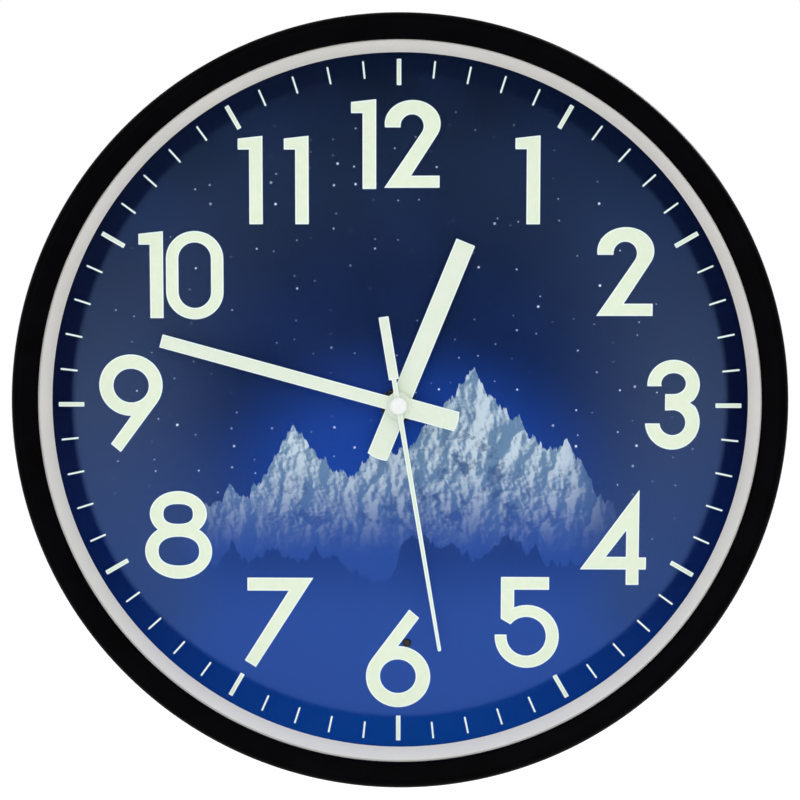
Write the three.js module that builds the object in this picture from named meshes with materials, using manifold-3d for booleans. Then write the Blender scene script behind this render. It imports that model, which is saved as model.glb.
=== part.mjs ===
// Round wall clock with an LED night light, in millimetres, +Z up and its front towards -Y.
// Every piece is drawn facing the viewer: x right, y up to twelve, z out from the wall.
// The finished clock is turned upright at the end. Its origin is on the hands' axis at the wall.
import * as THREE from 'three';
import { mergeVertices } from 'three/addons/utils/BufferGeometryUtils.js';
import Module from 'manifold-3d';

const wasm = await Module();
wasm.setup();

// Frame and lens
const frameRadius = 151.8;
const frameDepth = 42;
const frameWall = 2.5;
const frameDraft = 0.8;
const frontEdgeRadius = 3;
const lipWidth = 10.1;
const lipFall = 2;
const lipThickness = 1.8;
const lipEdgeRound = 0.6;
const lensThickness = 2;
const lensSeat = 1.8;
const lensRibWidth = 1.4;
const lensRibHeight = 1.5;

// Dial, diffuser ring and LED strip
const lensClearance = 0.5;
const dialThickness = 0.8;
const dialMargin = 0.9;
const ringTaper = 2.7;
const ringWall = 1.6;
const ringFlangeThickness = 1.5;
const stripWidth = 5;
const stripThickness = 0.8;
const stripRise = 1.2;
const stripOpening = 0.12;
const ledCount = 12;
const ledLength = 5;
const ledWidth = 3.6;
const ledHeight = 1.4;

// Back cover and its screws
const innerDepth = 15.5;
const coverThickness = 2.2;
const dialRibWidth = 2;
const dialRibInset = 4;
const stiffenerAngles = [60, 120, 150, 180, 210, 240, 300];
const stiffenerThickness = 1.6;
const stiffenerHeight = 3;
const stiffenerInset = 4;
const screwCount = 6;
const screwShankRadius = 1;
const screwHeadRadius = 2.2;
const screwHeadHeight = 1.5;
const screwLength = 9;
const bossWall = 1.2;
const bossShort = 1.2;
const keyholeInset = 11.7;
const keyholeHeadRadius = 5;
const keyholeSlotWidth = 5;
const keyholeSlotRise = 10;

// Cells, battery box and door
const cellRadius = 7.25;
const cellLength = 50.5;
const cellNubRadius = 2.75;
const cellNubLength = 1;
const cellEdge = 0.5;
const cellGap = 0.5;
const ledCellCount = 3;
const boxWall = 1.5;
const boxClearance = 2.8;
const boxFlange = 3;
const boxFlangeThickness = 1.6;
const contactSpace = 3.2;
const contactThickness = 0.4;
const clockContactThickness = 0.2;
const contactWidth = 8;
const contactHeight = 11;
const doorThickness = 1.8;
const doorPinRadius = 0.7;
const doorPinReach = 1.2;
const fingerNotchRadius = 6;

// Control board, light sensor and switch
const boardThickness = 1.2;
const boardCorner = 1;
const boardWidth = 44;
const boardHeight = 20;
const boardCentreX = 12;
const boardRise = 4.3;
const boardPinRadius = 0.9;
const boardPostRadius = 2.2;
const boardPostInset = 3;
const sensorX = 3.5;
const sensorInset = 42.2;
const sensorRadius = 1.5;
const sensorBodyLength = 5.2;
const sensorCollar = 1;
const sensorDome = 0.6;
const sensorLeadRadius = 0.3;
const sensorLeadSpread = 0.8;
const switchOffset = 14;
const switchTravel = 2;
const sliderWidth = 2.6;
const sliderThickness = 1.8;
const sliderProud = 2;
const sliderDepth = 2.6;
const switchWall = 1.2;
const leadRadius = 0.9;

// Movement case
const contactRoom = 1.25;
const caseRoom = 1.3;
const caseCorner = 4;
const caseWall = 1.5;
const caseRearWall = 1.3;
const bushWall = 1.25;
const bushProud = 0.2;
const gasketThickness = 0.8;
const gasketWidth = 7;
const washerThickness = 0.5;
const washerWidth = 3;
const nutWall = 1.2;
const nutThickness = 2;
const pivotHeight = 1.6;
const pivotWall = 0.8;
const postRadius = 1.5;
const postInset = 4.5;
const plateThickness = 1.2;
const movementBoardWidth = 14;
const movementBoardHeight = 11;
const movementBoardMargin = 1.2;
const chipSealRadius = 2.2;
const chipSealHeight = 0.9;
const crystalRadius = 1.05;
const crystalLength = 6.2;

// Wheel train: tooth counts, axis distances and the directions in which the axes lie
const hourTeeth = 24;
const minuteWorkPinionTeeth = 6;
const minuteWorkTeeth = 24;
const cannonTeeth = 8;
const knobTeeth = 8;
const centreTeeth = 48;
const thirdPinionTeeth = 6;
const thirdTeeth = 45;
const secondPinionTeeth = 6;
const secondTeeth = 30;
const fifthPinionTeeth = 6;
const fifthTeeth = 36;
const rotorTeeth = 6;
const motionDistance = 10;
const thirdDistance = 11;
const fifthDistance = 9.6;
const rotorDistance = 8.4;
const motionDirection = 90;
const thirdDirection = 16;
const fifthDirection = 160;
const rotorDirection = 120;
const wheelThickness = 0.9;
const layerGap = 0.35;
const arborRadius = 0.5;
const pipeWall = 0.6;
const pipeGap = 0.35;
const magnetRadius = 3;
const magnetThickness = 1.4;

// Stepping motor and setting knob
const statorThickness = 1;
const statorArm = 2.5;
const statorGap = 0.5;
const statorWall = 1;
const coilRise = 11.4;
const coilRadius = 3;
const coilWireDepth = 0.8;
const coilLength = 12;
const bobbinEnd = 0.8;
const bobbinFlange = 0.2;
const coreWidth = 2.2;
const coreThickness = 1;
const knobRadius = 6.5;
const knobHeight = 4.5;
const knobFlutes = 16;
const knobFluteDepth = 0.5;
const knobShaftRadius = 1.5;

// Hands
const hourAngle = 22.3;
const hourLength = 69.3;
const hourWidth = 7.9;
const hourTail = 22.3;
const hourTailWidth = 8.3;
const hourHubRadius = 5;
const minuteAngle = 285.2;
const minuteLength = 97;
const minuteWidth = 5.3;
const minuteTail = 24;
const minuteTailWidth = 7.9;
const minuteHubRadius = 5.3;
const secondAngle = 170.4;
const secondLength = 99;
const secondWidth = 2;
const secondTipWidth = 1.4;
const secondStem = 10.5;
const secondStemWidth = 1.8;
const secondTail = 35.4;
const secondTailWidth = 3.9;
const handThickness = 0.4;
const hubThickness = 0.8;
const handGap = 0.5;
const capRadius = 3.4;
const capHeight = 1.3;

// Clearances
const seatGap = 0.3;
const runGap = 0.25;
const overcut = 1;

// Facets round a turn
const largeSides = 48;
const middleSides = 16;
const cellSides = 10;
const smallSides = 8;
const bladeSegments = 3;
const facetsPerLed = 3;

// Levels along z, from the wall plane out to the front
const lipEdge = frameDepth - lipFall;
const lipUnderside = lipEdge - lipThickness;
const lensFront = lipUnderside - seatGap;
const lensRear = lensFront - lensThickness;
const ringFront = lensRear - seatGap;
const nutStack = washerThickness + nutThickness + bushProud + 2 * seatGap;
const handStack = 2 * (hubThickness + handGap) + handGap + handThickness + seatGap + capHeight;
const dialFront = lensRear - lensClearance - handStack - nutStack;
const dialRear = dialFront - dialThickness;
const ringRear = dialFront + seatGap;
const coverFront = dialRear - innerDepth;
const coverRecess = coverFront - coverThickness;
const dialRibTop = dialRear - seatGap;
const bossRear = coverFront + seatGap;
const bossFront = dialRear - bossShort;

// Radii about the hands' axis
const frontRadius = frameRadius - frameDraft;
const sightRadius = frontRadius - lipWidth;
const lensRadius = sightRadius + lensSeat;
const dialSightRadius = sightRadius - ringTaper;
const dialRadius = dialSightRadius + ringWall + dialMargin;
const dialRibOuter = dialRadius - dialRibInset;
const dialRibInner = dialRibOuter - dialRibWidth;
const sensorY = sensorInset - dialSightRadius;
const outerRadiusAt = (z) => frameRadius - frameDraft * z / frameDepth;
const innerRadiusAt = (z) => outerRadiusAt(z) - frameWall;
const coverRadius = innerRadiusAt(coverFront) - seatGap;
const screwCircle = innerRadiusAt(0) - seatGap - screwHeadRadius;
const pilotRadius = screwShankRadius + runGap;
const bossRadius = pilotRadius + bossWall;

// Levels inside the movement, from its front wall back
const gasketFront = dialRear - seatGap;
const caseFront = gasketFront - gasketThickness - seatGap;
const caseInner = caseFront - caseWall;
const layerPitch = wheelThickness + layerGap;
const hourLayer = caseInner - layerGap - wheelThickness;
const motionLayer = hourLayer - layerPitch;
const centreLayer = motionLayer - layerPitch;
const plateFront = centreLayer - layerGap;
const plateRear = plateFront - plateThickness;
const thirdLayer = plateRear - layerPitch;
const secondLayer = thirdLayer - layerPitch;
const fifthLayer = secondLayer - layerPitch;
const magnetFront = fifthLayer - layerGap;
const magnetRear = magnetFront - magnetThickness;
const pivotFront = magnetRear - seatGap;
const caseFloor = pivotFront - pivotHeight;
const caseRear = caseFloor - caseRearWall;
const caseParting = magnetFront;
const pivotEnd = caseFloor + pivotHeight / 3;

// Levels of the nut and the hands, from the dial out to the lens
const washerRear = dialFront + seatGap;
const nutRear = washerRear + washerThickness + seatGap;
const bushFront = nutRear + nutThickness + bushProud;
const hourHandRear = bushFront + handGap;
const minuteHandRear = hourHandRear + hubThickness + handGap;
const secondHandRear = minuteHandRear + hubThickness + handGap;
const capRear = secondHandRear + handThickness + seatGap;

// Radii of the three pipes that carry the hands, one inside the other
const minuteBoreRadius = arborRadius + pipeGap;
const minutePipeRadius = minuteBoreRadius + pipeWall;
const hourBoreRadius = minutePipeRadius + pipeGap;
const hourPipeRadius = hourBoreRadius + pipeWall;
const bushBoreRadius = hourPipeRadius + pipeGap;
const bushRadius = bushBoreRadius + bushWall;

// Places of the wheel axes
const axisAt = (origin, distance, degrees) => {
  const turn = THREE.MathUtils.degToRad(degrees);
  return new THREE.Vector2(distance * Math.cos(turn), distance * Math.sin(turn)).add(origin);
};
const handAxis = new THREE.Vector2(0, 0);
const minuteWorkAxis = axisAt(handAxis, motionDistance, motionDirection);
const knobDistance = motionDistance * (knobTeeth + minuteWorkTeeth) / (cannonTeeth + minuteWorkTeeth);
const knobAxis = axisAt(minuteWorkAxis, knobDistance, motionDirection);
const thirdAxis = axisAt(handAxis, thirdDistance, thirdDirection);
const fifthAxis = axisAt(handAxis, fifthDistance, fifthDirection);
const rotorAxis = axisAt(fifthAxis, rotorDistance, rotorDirection);

// Tooth form: heights in modules, half widths as shares of the pitch
const toothTip = 0.9;
const toothRoot = 1.2;
const toothTipHalf = 0.09;
const toothRootHalf = 0.27;

const tipRadius = (teeth, module) => (teeth / 2 + toothTip) * module;
const rootRadius = (teeth, module) => (teeth / 2 - toothRoot) * module;

const moduleOf = (distance, teeth, otherTeeth) => 2 * distance / (teeth + otherTeeth);
const motionModule = moduleOf(motionDistance, cannonTeeth, minuteWorkTeeth);
const hourModule = moduleOf(motionDistance, minuteWorkPinionTeeth, hourTeeth);
const centreModule = moduleOf(thirdDistance, centreTeeth, thirdPinionTeeth);
const thirdModule = moduleOf(thirdDistance, thirdTeeth, secondPinionTeeth);
const secondModule = moduleOf(fifthDistance, secondTeeth, fifthPinionTeeth);
const fifthModule = moduleOf(rotorDistance, fifthTeeth, rotorTeeth);

// Stepping motor places: the stator's band holds the rotor, its arms rise to the coil
const coilY = rotorAxis.y + coilRise;
const coilCentreX = rotorAxis.x + arborRadius;
const statorRear = magnetRear + (magnetThickness - statorThickness) / 2;
const statorFront = statorRear + statorThickness;
const coreRear = statorFront + seatGap;
const coilZ = coreRear + coreThickness / 2;
const coreHalf = coilLength / 2 + statorArm;

// Movement case: as wide as its cell and contacts, as high as the cell and the train above it
const clockCellZ = caseInner - seatGap - cellRadius;
const partitionTop = -tipRadius(centreTeeth, centreModule) - 2 * runGap;
const partitionY = partitionTop - caseRearWall;
const clockCellY = partitionY - seatGap - cellRadius;
const caseLow = clockCellY - cellRadius - seatGap - caseWall;
const caseHigh = coilY + coilRadius + bobbinFlange + caseRoom + caseWall;
const caseWidth = cellLength + 2 * (contactRoom + caseWall);
const caseHeight = caseHigh - caseLow;
const caseMiddle = (caseHigh + caseLow) / 2;
const postPlaces = [
  coilCentreX - coreHalf - seatGap - postRadius,
  caseWidth / 2 - postInset,
].flatMap((x) => [
  new THREE.Vector2(x, caseHigh - postInset),
  new THREE.Vector2(x, partitionY + postInset),
]);

// Movement board place: clear of the knob's shaft and the corner post
const movementBoardX = knobAxis.x + knobShaftRadius + 2 * movementBoardMargin + movementBoardWidth / 2;
const movementBoardY = caseHigh - caseWall - movementBoardMargin - movementBoardHeight / 2;
const movementBoardRear = caseFloor + pivotHeight;
const movementBoardFront = movementBoardRear + boardThickness;

// Shape tools: closed forms from outlines, and their joins and cuts

// Takes a closed geometry to a solid whose faces all point out
function solidOf(geometry) {
  const bare = geometry.clone();
  bare.deleteAttribute('normal');
  bare.deleteAttribute('uv');
  const merged = mergeVertices(bare, 1e-4);
  const place = merged.getAttribute('position');
  const corner = (n) => new THREE.Vector3().fromBufferAttribute(place, n);
  const triangles = [];
  let volume = 0;
  for (let n = 0; n < merged.index.count; n += 3) {
    const [a, b, c] = [0, 1, 2].map((k) => merged.index.getX(n + k));
    if (a !== b && b !== c && c !== a) {
      triangles.push([a, b, c]);
      volume += corner(a).dot(corner(b).cross(corner(c)));
    }
  }
  const outward = volume > 0 ? triangles : triangles.map(([a, b, c]) => [a, c, b]);
  return new wasm.Manifold(new wasm.Mesh({
    numProp: 3,
    vertProperties: new Float32Array(place.array),
    triVerts: new Uint32Array(outward.flat()),
  }));
}

// Revolves a profile of [radius, z] corners about the hands' axis
function turned(corners, sides) {
  const profile = corners.map(([radius, z]) => new THREE.Vector2(radius, z));
  return solidOf(new THREE.LatheGeometry(profile, sides).rotateX(Math.PI / 2));
}

// Revolves a profile that bounds a ring, closing it on its first corner
function turnedRing(corners, sides) {
  return turned([...corners, corners[0]], sides);
}

// Extrudes an outline between two levels
function prism(shape, rear, front, curveSegments = 2) {
  const depth = front - rear;
  const geometry = new THREE.ExtrudeGeometry(shape, { depth, bevelEnabled: false, curveSegments });
  return solidOf(geometry.translate(0, 0, rear));
}

// Round bar along z
function rod(radius, rear, front, centre = handAxis, sides = smallSides) {
  const geometry = new THREE.CylinderGeometry(radius, radius, front - rear, sides);
  geometry.rotateX(Math.PI / 2);
  return solidOf(geometry.translate(centre.x, centre.y, (rear + front) / 2));
}

// Box between two corners
function block([left, low, rear], [right, high, front]) {
  const geometry = new THREE.BoxGeometry(right - left, high - low, front - rear);
  return solidOf(geometry.translate((left + right) / 2, (low + high) / 2, (rear + front) / 2));
}

// Rectangle with round corners about a centre
function roundedRectangle(width, height, corner, centreX = 0, centreY = 0) {
  const [left, right] = [centreX - width / 2, centreX + width / 2];
  const [low, high] = [centreY - height / 2, centreY + height / 2];
  const shape = new THREE.Shape();
  shape.moveTo(left + corner, low);
  shape.absarc(right - corner, low + corner, corner, -Math.PI / 2, 0);
  shape.absarc(right - corner, high - corner, corner, 0, Math.PI / 2);
  shape.absarc(left + corner, high - corner, corner, Math.PI / 2, Math.PI);
  shape.absarc(left + corner, low + corner, corner, Math.PI, 1.5 * Math.PI);
  return shape;
}

// Polygon through a list of [x, y] corners
function polygon(corners) {
  return new THREE.Shape(corners.map(([x, y]) => new THREE.Vector2(x, y)));
}

const join = (...solids) => solids.reduce((all, next) => all.add(next));
const cut = (solid, ...tools) => tools.reduce((left, tool) => left.subtract(tool), solid);
const turnsOf = (count) => Array.from({ length: count }, (_, n) => n / count * 2 * Math.PI);

// Turns a solid's geometry, for pieces drawn along another direction
function moved(solid, matrix) {
  return solidOf(geometryOf(solid).applyMatrix4(matrix));
}

function geometryOf(solid) {
  const mesh = solid.getMesh();
  const geometry = new THREE.BufferGeometry();
  geometry.setAttribute('position', new THREE.BufferAttribute(mesh.vertProperties, 3));
  geometry.setIndex(new THREE.BufferAttribute(mesh.triVerts, 1));
  geometry.computeVertexNormals();
  return geometry;
}

// Turns x, y, z to y, z, x, so that a section drawn in x and y runs along x
const sectionAlongX = new THREE.Matrix4().makeBasis(
  new THREE.Vector3(0, 1, 0), new THREE.Vector3(0, 0, 1), new THREE.Vector3(1, 0, 0));
const aboutZ = (radians) => new THREE.Matrix4().makeRotationZ(radians);

// Toothed disc with a tooth centred at the given angle
function toothedDisc(teeth, module, firstTooth, rear, centre) {
  const tip = tipRadius(teeth, module);
  const root = rootRadius(teeth, module);
  const flanks = [[root, -toothRootHalf], [tip, -toothTipHalf], [tip, toothTipHalf], [root, toothRootHalf]];
  const outline = turnsOf(teeth).flatMap((turn) => flanks.map(([radius, share]) => {
    const angle = firstTooth + turn + share * 2 * Math.PI / teeth;
    return [centre.x + radius * Math.cos(angle), centre.y + radius * Math.sin(angle)];
  }));
  return prism(polygon(outline), rear, rear + wheelThickness);
}

// Angle of a tooth on the driven wheel that sets its space against the driver's tooth
function meshedTooth(driverCentre, driverTeeth, driverTooth, drivenCentre, drivenTeeth) {
  const line = drivenCentre.clone().sub(driverCentre).angle();
  return line + Math.PI + Math.PI / drivenTeeth + (line - driverTooth) * driverTeeth / drivenTeeth;
}

// Finishes
function finish(color, roughness, metalness = 0) {
  return new THREE.MeshStandardMaterial({ color, roughness, metalness });
}
const blackPlastic = finish(0x060608, 0.35);
const coverPlastic = finish(0x0c0c0e, 0.6);
const clearLens = finish(0xf2f6f8, 0.05);
const greyDiffuser = finish(0xc9c9c8, 0.6);
const dialPrint = finish(0x2c4a8a, 0.7);
const handPaint = finish(0xe2ecde, 0.5);
const capPaint = finish(0xf4f4f2, 0.4);
const steel = finish(0xb8babd, 0.3, 1);
const brass = finish(0xc9a75a, 0.3, 1);
const copper = finish(0xa8572a, 0.4, 0.8);
const darkSteel = finish(0x6d7074, 0.45, 1);
const rubber = finish(0x1a1a1a, 0.9);
const boardGreen = finish(0x1f6b3a, 0.55);
const stripWhite = finish(0xeeeeea, 0.5);
const sensorOlive = finish(0x3d3b22, 0.25);
const wheelPlastic = finish(0xe9e6dc, 0.5);
const pinionPlastic = finish(0x5a8fc4, 0.5);
const cellJacket = finish(0x2f3237, 0.35, 0.3);
const leadSleeve = finish(0xb02020, 0.6);
const magnetGrey = finish(0x3a3a3d, 0.6);

const clock = new THREE.Group();

function piece(name, solid, material) {
  const mesh = new THREE.Mesh(geometryOf(solid), material);
  mesh.name = name;
  clock.add(mesh);
}

// Frame: a revolved shell with a sloping front lip and screw bosses along its wall
const screwPlaces = turnsOf(screwCount).map((turn) =>
  new THREE.Vector2(screwCircle * Math.cos(turn), screwCircle * Math.sin(turn)));

function frame() {
  const edgeLevel = frameDepth - frontEdgeRadius;
  const edgeCentre = outerRadiusAt(edgeLevel) - frontEdgeRadius;
  const edge = [0, 1, 2].map((step) => step / 2 * Math.PI / 2).map((turn) =>
    [edgeCentre + frontEdgeRadius * Math.cos(turn), edgeLevel + frontEdgeRadius * Math.sin(turn)]);
  const lensRibInner = lensRadius + seatGap;
  const ribLow = lipUnderside - lensRibHeight;
  const shell = turnedRing([
    [frameRadius, 0],
    ...edge,
    [sightRadius + lipEdgeRound, lipEdge],
    [sightRadius, lipEdge - lipEdgeRound],
    [sightRadius, lipUnderside],
    [lensRibInner, lipUnderside],
    [lensRibInner, ribLow],
    [lensRibInner + lensRibWidth, ribLow],
    [lensRibInner + lensRibWidth, lipUnderside],
    [innerRadiusAt(lipUnderside), lipUnderside],
    [innerRadiusAt(0), 0],
  ], largeSides);
  const bosses = screwPlaces.map((place) => {
    const web = block(
      [screwCircle, -bossRadius, bossRear],
      [outerRadiusAt(bossFront) - frameWall / 2, bossRadius, bossFront]);
    return join(
      rod(bossRadius, bossRear, bossFront, place),
      moved(web, aboutZ(place.angle())));
  });
  const pilotEnd = bossRear + screwLength;
  const pilots = screwPlaces.map((place) => rod(pilotRadius, bossRear - overcut, pilotEnd, place));
  return cut(join(shell, ...bosses), ...pilots);
}
piece('frame', frame(), blackPlastic);

piece('lens', rod(lensRadius, lensRear, lensFront, handAxis, largeSides), clearLens);

// Diffuser ring: a tapered wall from the dial to the lens with a flange under the lens
piece('diffuser_ring', turnedRing([
  [dialSightRadius, ringRear],
  [dialSightRadius + ringWall, ringRear],
  [sightRadius + ringWall, ringFront - ringFlangeThickness],
  [lensRadius, ringFront - ringFlangeThickness],
  [lensRadius, ringFront],
  [sightRadius, ringFront],
], largeSides), greyDiffuser);

// LED strip: an open band along the frame's wall with its lamps facing in
function ledStrip() {
  const rear = dialFront + stripRise;
  const front = rear + stripWidth;
  const outer = innerRadiusAt(front) - seatGap - runGap;
  const inner = outer - stripThickness;
  const from = -Math.PI / 2 + stripOpening / 2;
  const to = from + 2 * Math.PI - stripOpening;
  const band = new THREE.Shape();
  band.absarc(0, 0, outer, from, to, false);
  band.absarc(0, 0, inner, to, from, true);
  const middle = (rear + front) / 2;
  const share = (to - from) / ledCount;
  const face = inner * Math.cos(share / facetsPerLed / 2);
  const lamp = block(
    [face - ledHeight, -ledLength / 2, middle - ledWidth / 2],
    [face + stripThickness / 2, ledLength / 2, middle + ledWidth / 2]);
  const lamps = Array.from({ length: ledCount }, (_, n) => moved(lamp, aboutZ(from + (n + 0.5) * share)));
  return join(prism(band, rear, front, ledCount * facetsPerLed / 2), ...lamps);
}
piece('led_strip', ledStrip(), stripWhite);

const sensorPlace = new THREE.Vector2(sensorX, sensorY);
piece('dial', cut(
  rod(dialRadius, dialRear, dialFront, handAxis, largeSides),
  rod(bushRadius + seatGap, dialRear - overcut, dialFront + overcut, handAxis, middleSides),
  rod(sensorRadius + seatGap, dialRear - overcut, dialFront + overcut, sensorPlace),
), dialPrint);

// Battery box: sizes shared with the cover's window, the cells and the door
const cellSpacing = 2 * cellRadius + cellGap;
const boxInnerWidth = (ledCellCount - 1) * cellSpacing + 2 * (cellRadius + seatGap);
const boxInnerHeight = cellLength + 2 * contactSpace;
const boxCentreX = (caseWidth / 2 + dialRibInner) / 2;
const boxWidth = boxInnerWidth + 2 * boxWall;
const boxHeight = boxInnerHeight + 2 * boxWall;
const boxFloor = dialRear - boxClearance - boxWall;
const ledCellZ = boxFloor - seatGap - cellRadius;
const doorFront = ledCellZ - cellRadius - seatGap;
const boxRear = doorFront - doorThickness;
const doorAxisY = boxInnerHeight / 2 - seatGap - doorThickness / 2;
const doorAxisZ = boxRear + doorThickness / 2;

// Control board: sizes shared with the cover's posts, the sensor and the switch
const boardRear = coverFront + boardRise;
const boardFront = boardRear + boardThickness;
const boardPins = [-1, 1].flatMap((across) => [-1, 1].map((up) => new THREE.Vector2(
  boardCentreX + across * (boardWidth / 2 - boardPostInset),
  sensorY + up * (boardHeight / 2 - boardPostInset))));
const switchX = boardCentreX + switchOffset;
const slotWidth = sliderWidth + 2 * (switchTravel + seatGap);
const slotHeight = sliderThickness + 2 * seatGap;
const switchSlot = (rear, front) => block(
  [switchX - slotWidth / 2, sensorY - slotHeight / 2, rear],
  [switchX + slotWidth / 2, sensorY + slotHeight / 2, front]);

// The strip's lead leaves the board at its lower edge, left of the sensor
const stripLeadX = boardCentreX - boardWidth / 4;

// Back cover: a recessed plate with a rib behind the dial's edge, stiffeners, posts and openings
function backCover() {
  const windowWidth = caseWidth + 4 * seatGap;
  const windowHeight = caseHeight + 4 * seatGap;
  const stiffenerStart = Math.hypot(windowWidth, windowHeight) / 2 + stiffenerInset;
  const plate = turned([
    [0, coverRecess],
    [coverRadius, coverRecess],
    [coverRadius, coverFront],
    [dialRibOuter, coverFront],
    [dialRibOuter, dialRibTop],
    [dialRibInner, dialRibTop],
    [dialRibInner, coverFront],
    [0, coverFront],
  ], largeSides);
  const stiffeners = stiffenerAngles.map((degrees) => moved(block(
    [stiffenerStart, -stiffenerThickness / 2, coverFront - coverThickness / 2],
    [dialRibInner + dialRibWidth / 2, stiffenerThickness / 2, coverFront + stiffenerHeight],
  ), aboutZ(THREE.MathUtils.degToRad(degrees))));
  const posts = boardPins.flatMap((place) => [
    rod(boardPostRadius, coverFront - coverThickness / 2, boardRear - seatGap, place),
    rod(boardPinRadius, coverFront, boardFront + boardThickness / 2, place),
  ]);
  const below = coverRecess - overcut;
  const above = coverFront + overcut;
  const keyholeTop = new THREE.Vector2(0, dialRibInner - keyholeInset);
  const keyholeHead = new THREE.Vector2(0, keyholeTop.y - keyholeSlotRise);
  const notchWidth = 2 * leadRadius + 4 * seatGap;
  return cut(
    join(plate, ...stiffeners, ...posts),
    prism(roundedRectangle(windowWidth, windowHeight, caseCorner, 0, caseMiddle), below, above),
    prism(roundedRectangle(
      boxWidth + 4 * seatGap, boxHeight + 4 * seatGap, boxWall, boxCentreX), below, above),
    rod(keyholeHeadRadius, below, above, keyholeHead, middleSides),
    rod(keyholeSlotWidth / 2, below, above, keyholeTop, middleSides),
    block(
      [-keyholeSlotWidth / 2, keyholeHead.y, below],
      [keyholeSlotWidth / 2, keyholeTop.y, above]),
    switchSlot(below, above),
    block(
      [stripLeadX - notchWidth / 2, -dialRibOuter - overcut, coverFront + overcut],
      [stripLeadX + notchWidth / 2, -dialRibInner + 2 * dialRibWidth, coverFront + overcut + 2 * notchWidth]),
    ...screwPlaces.map((place) => rod(pilotRadius, below, above, place)),
  );
}
piece('back_cover', backCover(), coverPlastic);

screwPlaces.forEach((place, n) => {
  const headFront = coverRecess - seatGap;
  const screw = join(
    rod(screwHeadRadius, headFront - screwHeadHeight, headFront, place, smallSides),
    rod(screwShankRadius, headFront - screwHeadHeight / 2, headFront + screwLength, place, smallSides));
  piece(`cover_screw_${n + 1}`, screw, steel);
});

// Battery box: a tray open to the back, its flange against the cover's inner face
function batteryBox() {
  const outline = roundedRectangle(boxWidth, boxHeight, boxWall, boxCentreX);
  const outside = prism(outline, boxRear, boxFloor + boxWall);
  const flange = prism(roundedRectangle(
    boxWidth + 2 * boxFlange, boxHeight + 2 * boxFlange, boxFlange, boxCentreX,
  ), coverFront + seatGap, coverFront + seatGap + boxFlangeThickness);
  const inside = block(
    [boxCentreX - boxInnerWidth / 2, -boxInnerHeight / 2, boxRear - overcut],
    [boxCentreX + boxInnerWidth / 2, boxInnerHeight / 2, boxFloor]);
  const stops = [-1, 1].map((side) => {
    const middle = boxCentreX + side * boxInnerWidth / 2;
    return block(
      [middle - boxWall / 2, -boxInnerHeight / 2 - boxWall / 2, doorFront + seatGap],
      [middle + boxWall / 2, -boxInnerHeight / 2 + contactSpace / 2, boxFloor + boxWall / 2]);
  });
  const pinHoles = moved(
    rod(doorPinRadius + runGap, boxCentreX - boxWidth, boxCentreX + boxWidth,
      new THREE.Vector2(doorAxisY, doorAxisZ)),
    sectionAlongX);
  const fingerNotch = moved(
    rod(fingerNotchRadius, boxHeight / 2 - 2 * boxWall, boxHeight / 2 + overcut,
      new THREE.Vector2(boxRear, boxCentreX), middleSides),
    new THREE.Matrix4().makeBasis(
      new THREE.Vector3(0, 0, 1), new THREE.Vector3(1, 0, 0), new THREE.Vector3(0, -1, 0)));
  return cut(join(cut(join(outside, flange), inside), ...stops), pinHoles, fingerNotch);
}
piece('battery_box', batteryBox(), coverPlastic);

// Battery door: a plate with a half-round hinge edge and a pin at each side
function batteryDoor() {
  const half = doorThickness / 2;
  const width = boxInnerWidth - 2 * seatGap;
  const section = new THREE.Shape();
  section.moveTo(-boxInnerHeight / 2 + seatGap, boxRear);
  section.lineTo(doorAxisY, boxRear);
  section.absarc(doorAxisY, doorAxisZ, half, -Math.PI / 2, Math.PI / 2, false);
  section.lineTo(-boxInnerHeight / 2 + seatGap, doorFront);
  const left = boxCentreX - width / 2;
  const plate = prism(section, left, left + width);
  const pin = rod(doorPinRadius, left - doorPinReach, left + width + doorPinReach,
    new THREE.Vector2(doorAxisY, doorAxisZ));
  return moved(join(plate, pin), sectionAlongX);
}
piece('battery_door', batteryDoor(), coverPlastic);

// Round cell along y with its contact nub at the upper end
function cell() {
  const shoulder = cellLength / 2 - cellNubLength;
  const profile = [
    [0, -cellLength / 2],
    [cellRadius - cellEdge, -cellLength / 2],
    [cellRadius, -cellLength / 2 + cellEdge],
    [cellRadius, shoulder - cellEdge],
    [cellRadius - cellEdge, shoulder],
    [cellNubRadius, shoulder],
    [cellNubRadius, cellLength / 2],
    [0, cellLength / 2],
  ].map(([radius, y]) => new THREE.Vector2(radius, y));
  return new THREE.LatheGeometry(profile, cellSides);
}

const ledCellX = (n) => boxCentreX + (n - (ledCellCount - 1) / 2) * cellSpacing;
for (let n = 0; n < ledCellCount; n += 1) {
  const upright = cell().rotateX(n % 2 ? Math.PI : 0);
  piece(`led_cell_${n + 1}`, solidOf(upright.translate(ledCellX(n), 0, ledCellZ)), cellJacket);
}

// Leaf contact: a plate against the end wall with a tongue folded towards the cell.
// Its section is drawn as depth from the wall and height, t thick, and it runs between two sides.
function leafContact(reach, t, from, to) {
  const top = contactHeight / 2;
  const section = polygon([
    [0, top], [0, -top], [2 * t, -top], [reach, 0],
    [reach - t, t], [2 * t, 3 * t - top], [t, 3 * t - top], [t, top],
  ]);
  return moved(prism(section, from, to), sectionAlongX);
}

const ledContactReach = contactSpace - 2 * seatGap;
const ledContact = (end, firstCell, lastCell) => {
  const from = ledCellX(firstCell) - contactWidth / 2;
  const to = ledCellX(lastCell) + contactWidth / 2;
  const inward = new THREE.Matrix4().makeScale(1, -end, 1);
  inward.setPosition(0, end * (boxInnerHeight / 2 - seatGap), ledCellZ);
  return moved(leafContact(ledContactReach, contactThickness, from, to), inward);
};
piece('led_contact_plus', ledContact(1, 0, 0), steel);
piece('led_contact_link_upper', ledContact(1, 1, 2), steel);
piece('led_contact_link_lower', ledContact(-1, 0, 1), steel);
piece('led_contact_minus', ledContact(-1, 2, 2), steel);

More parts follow.
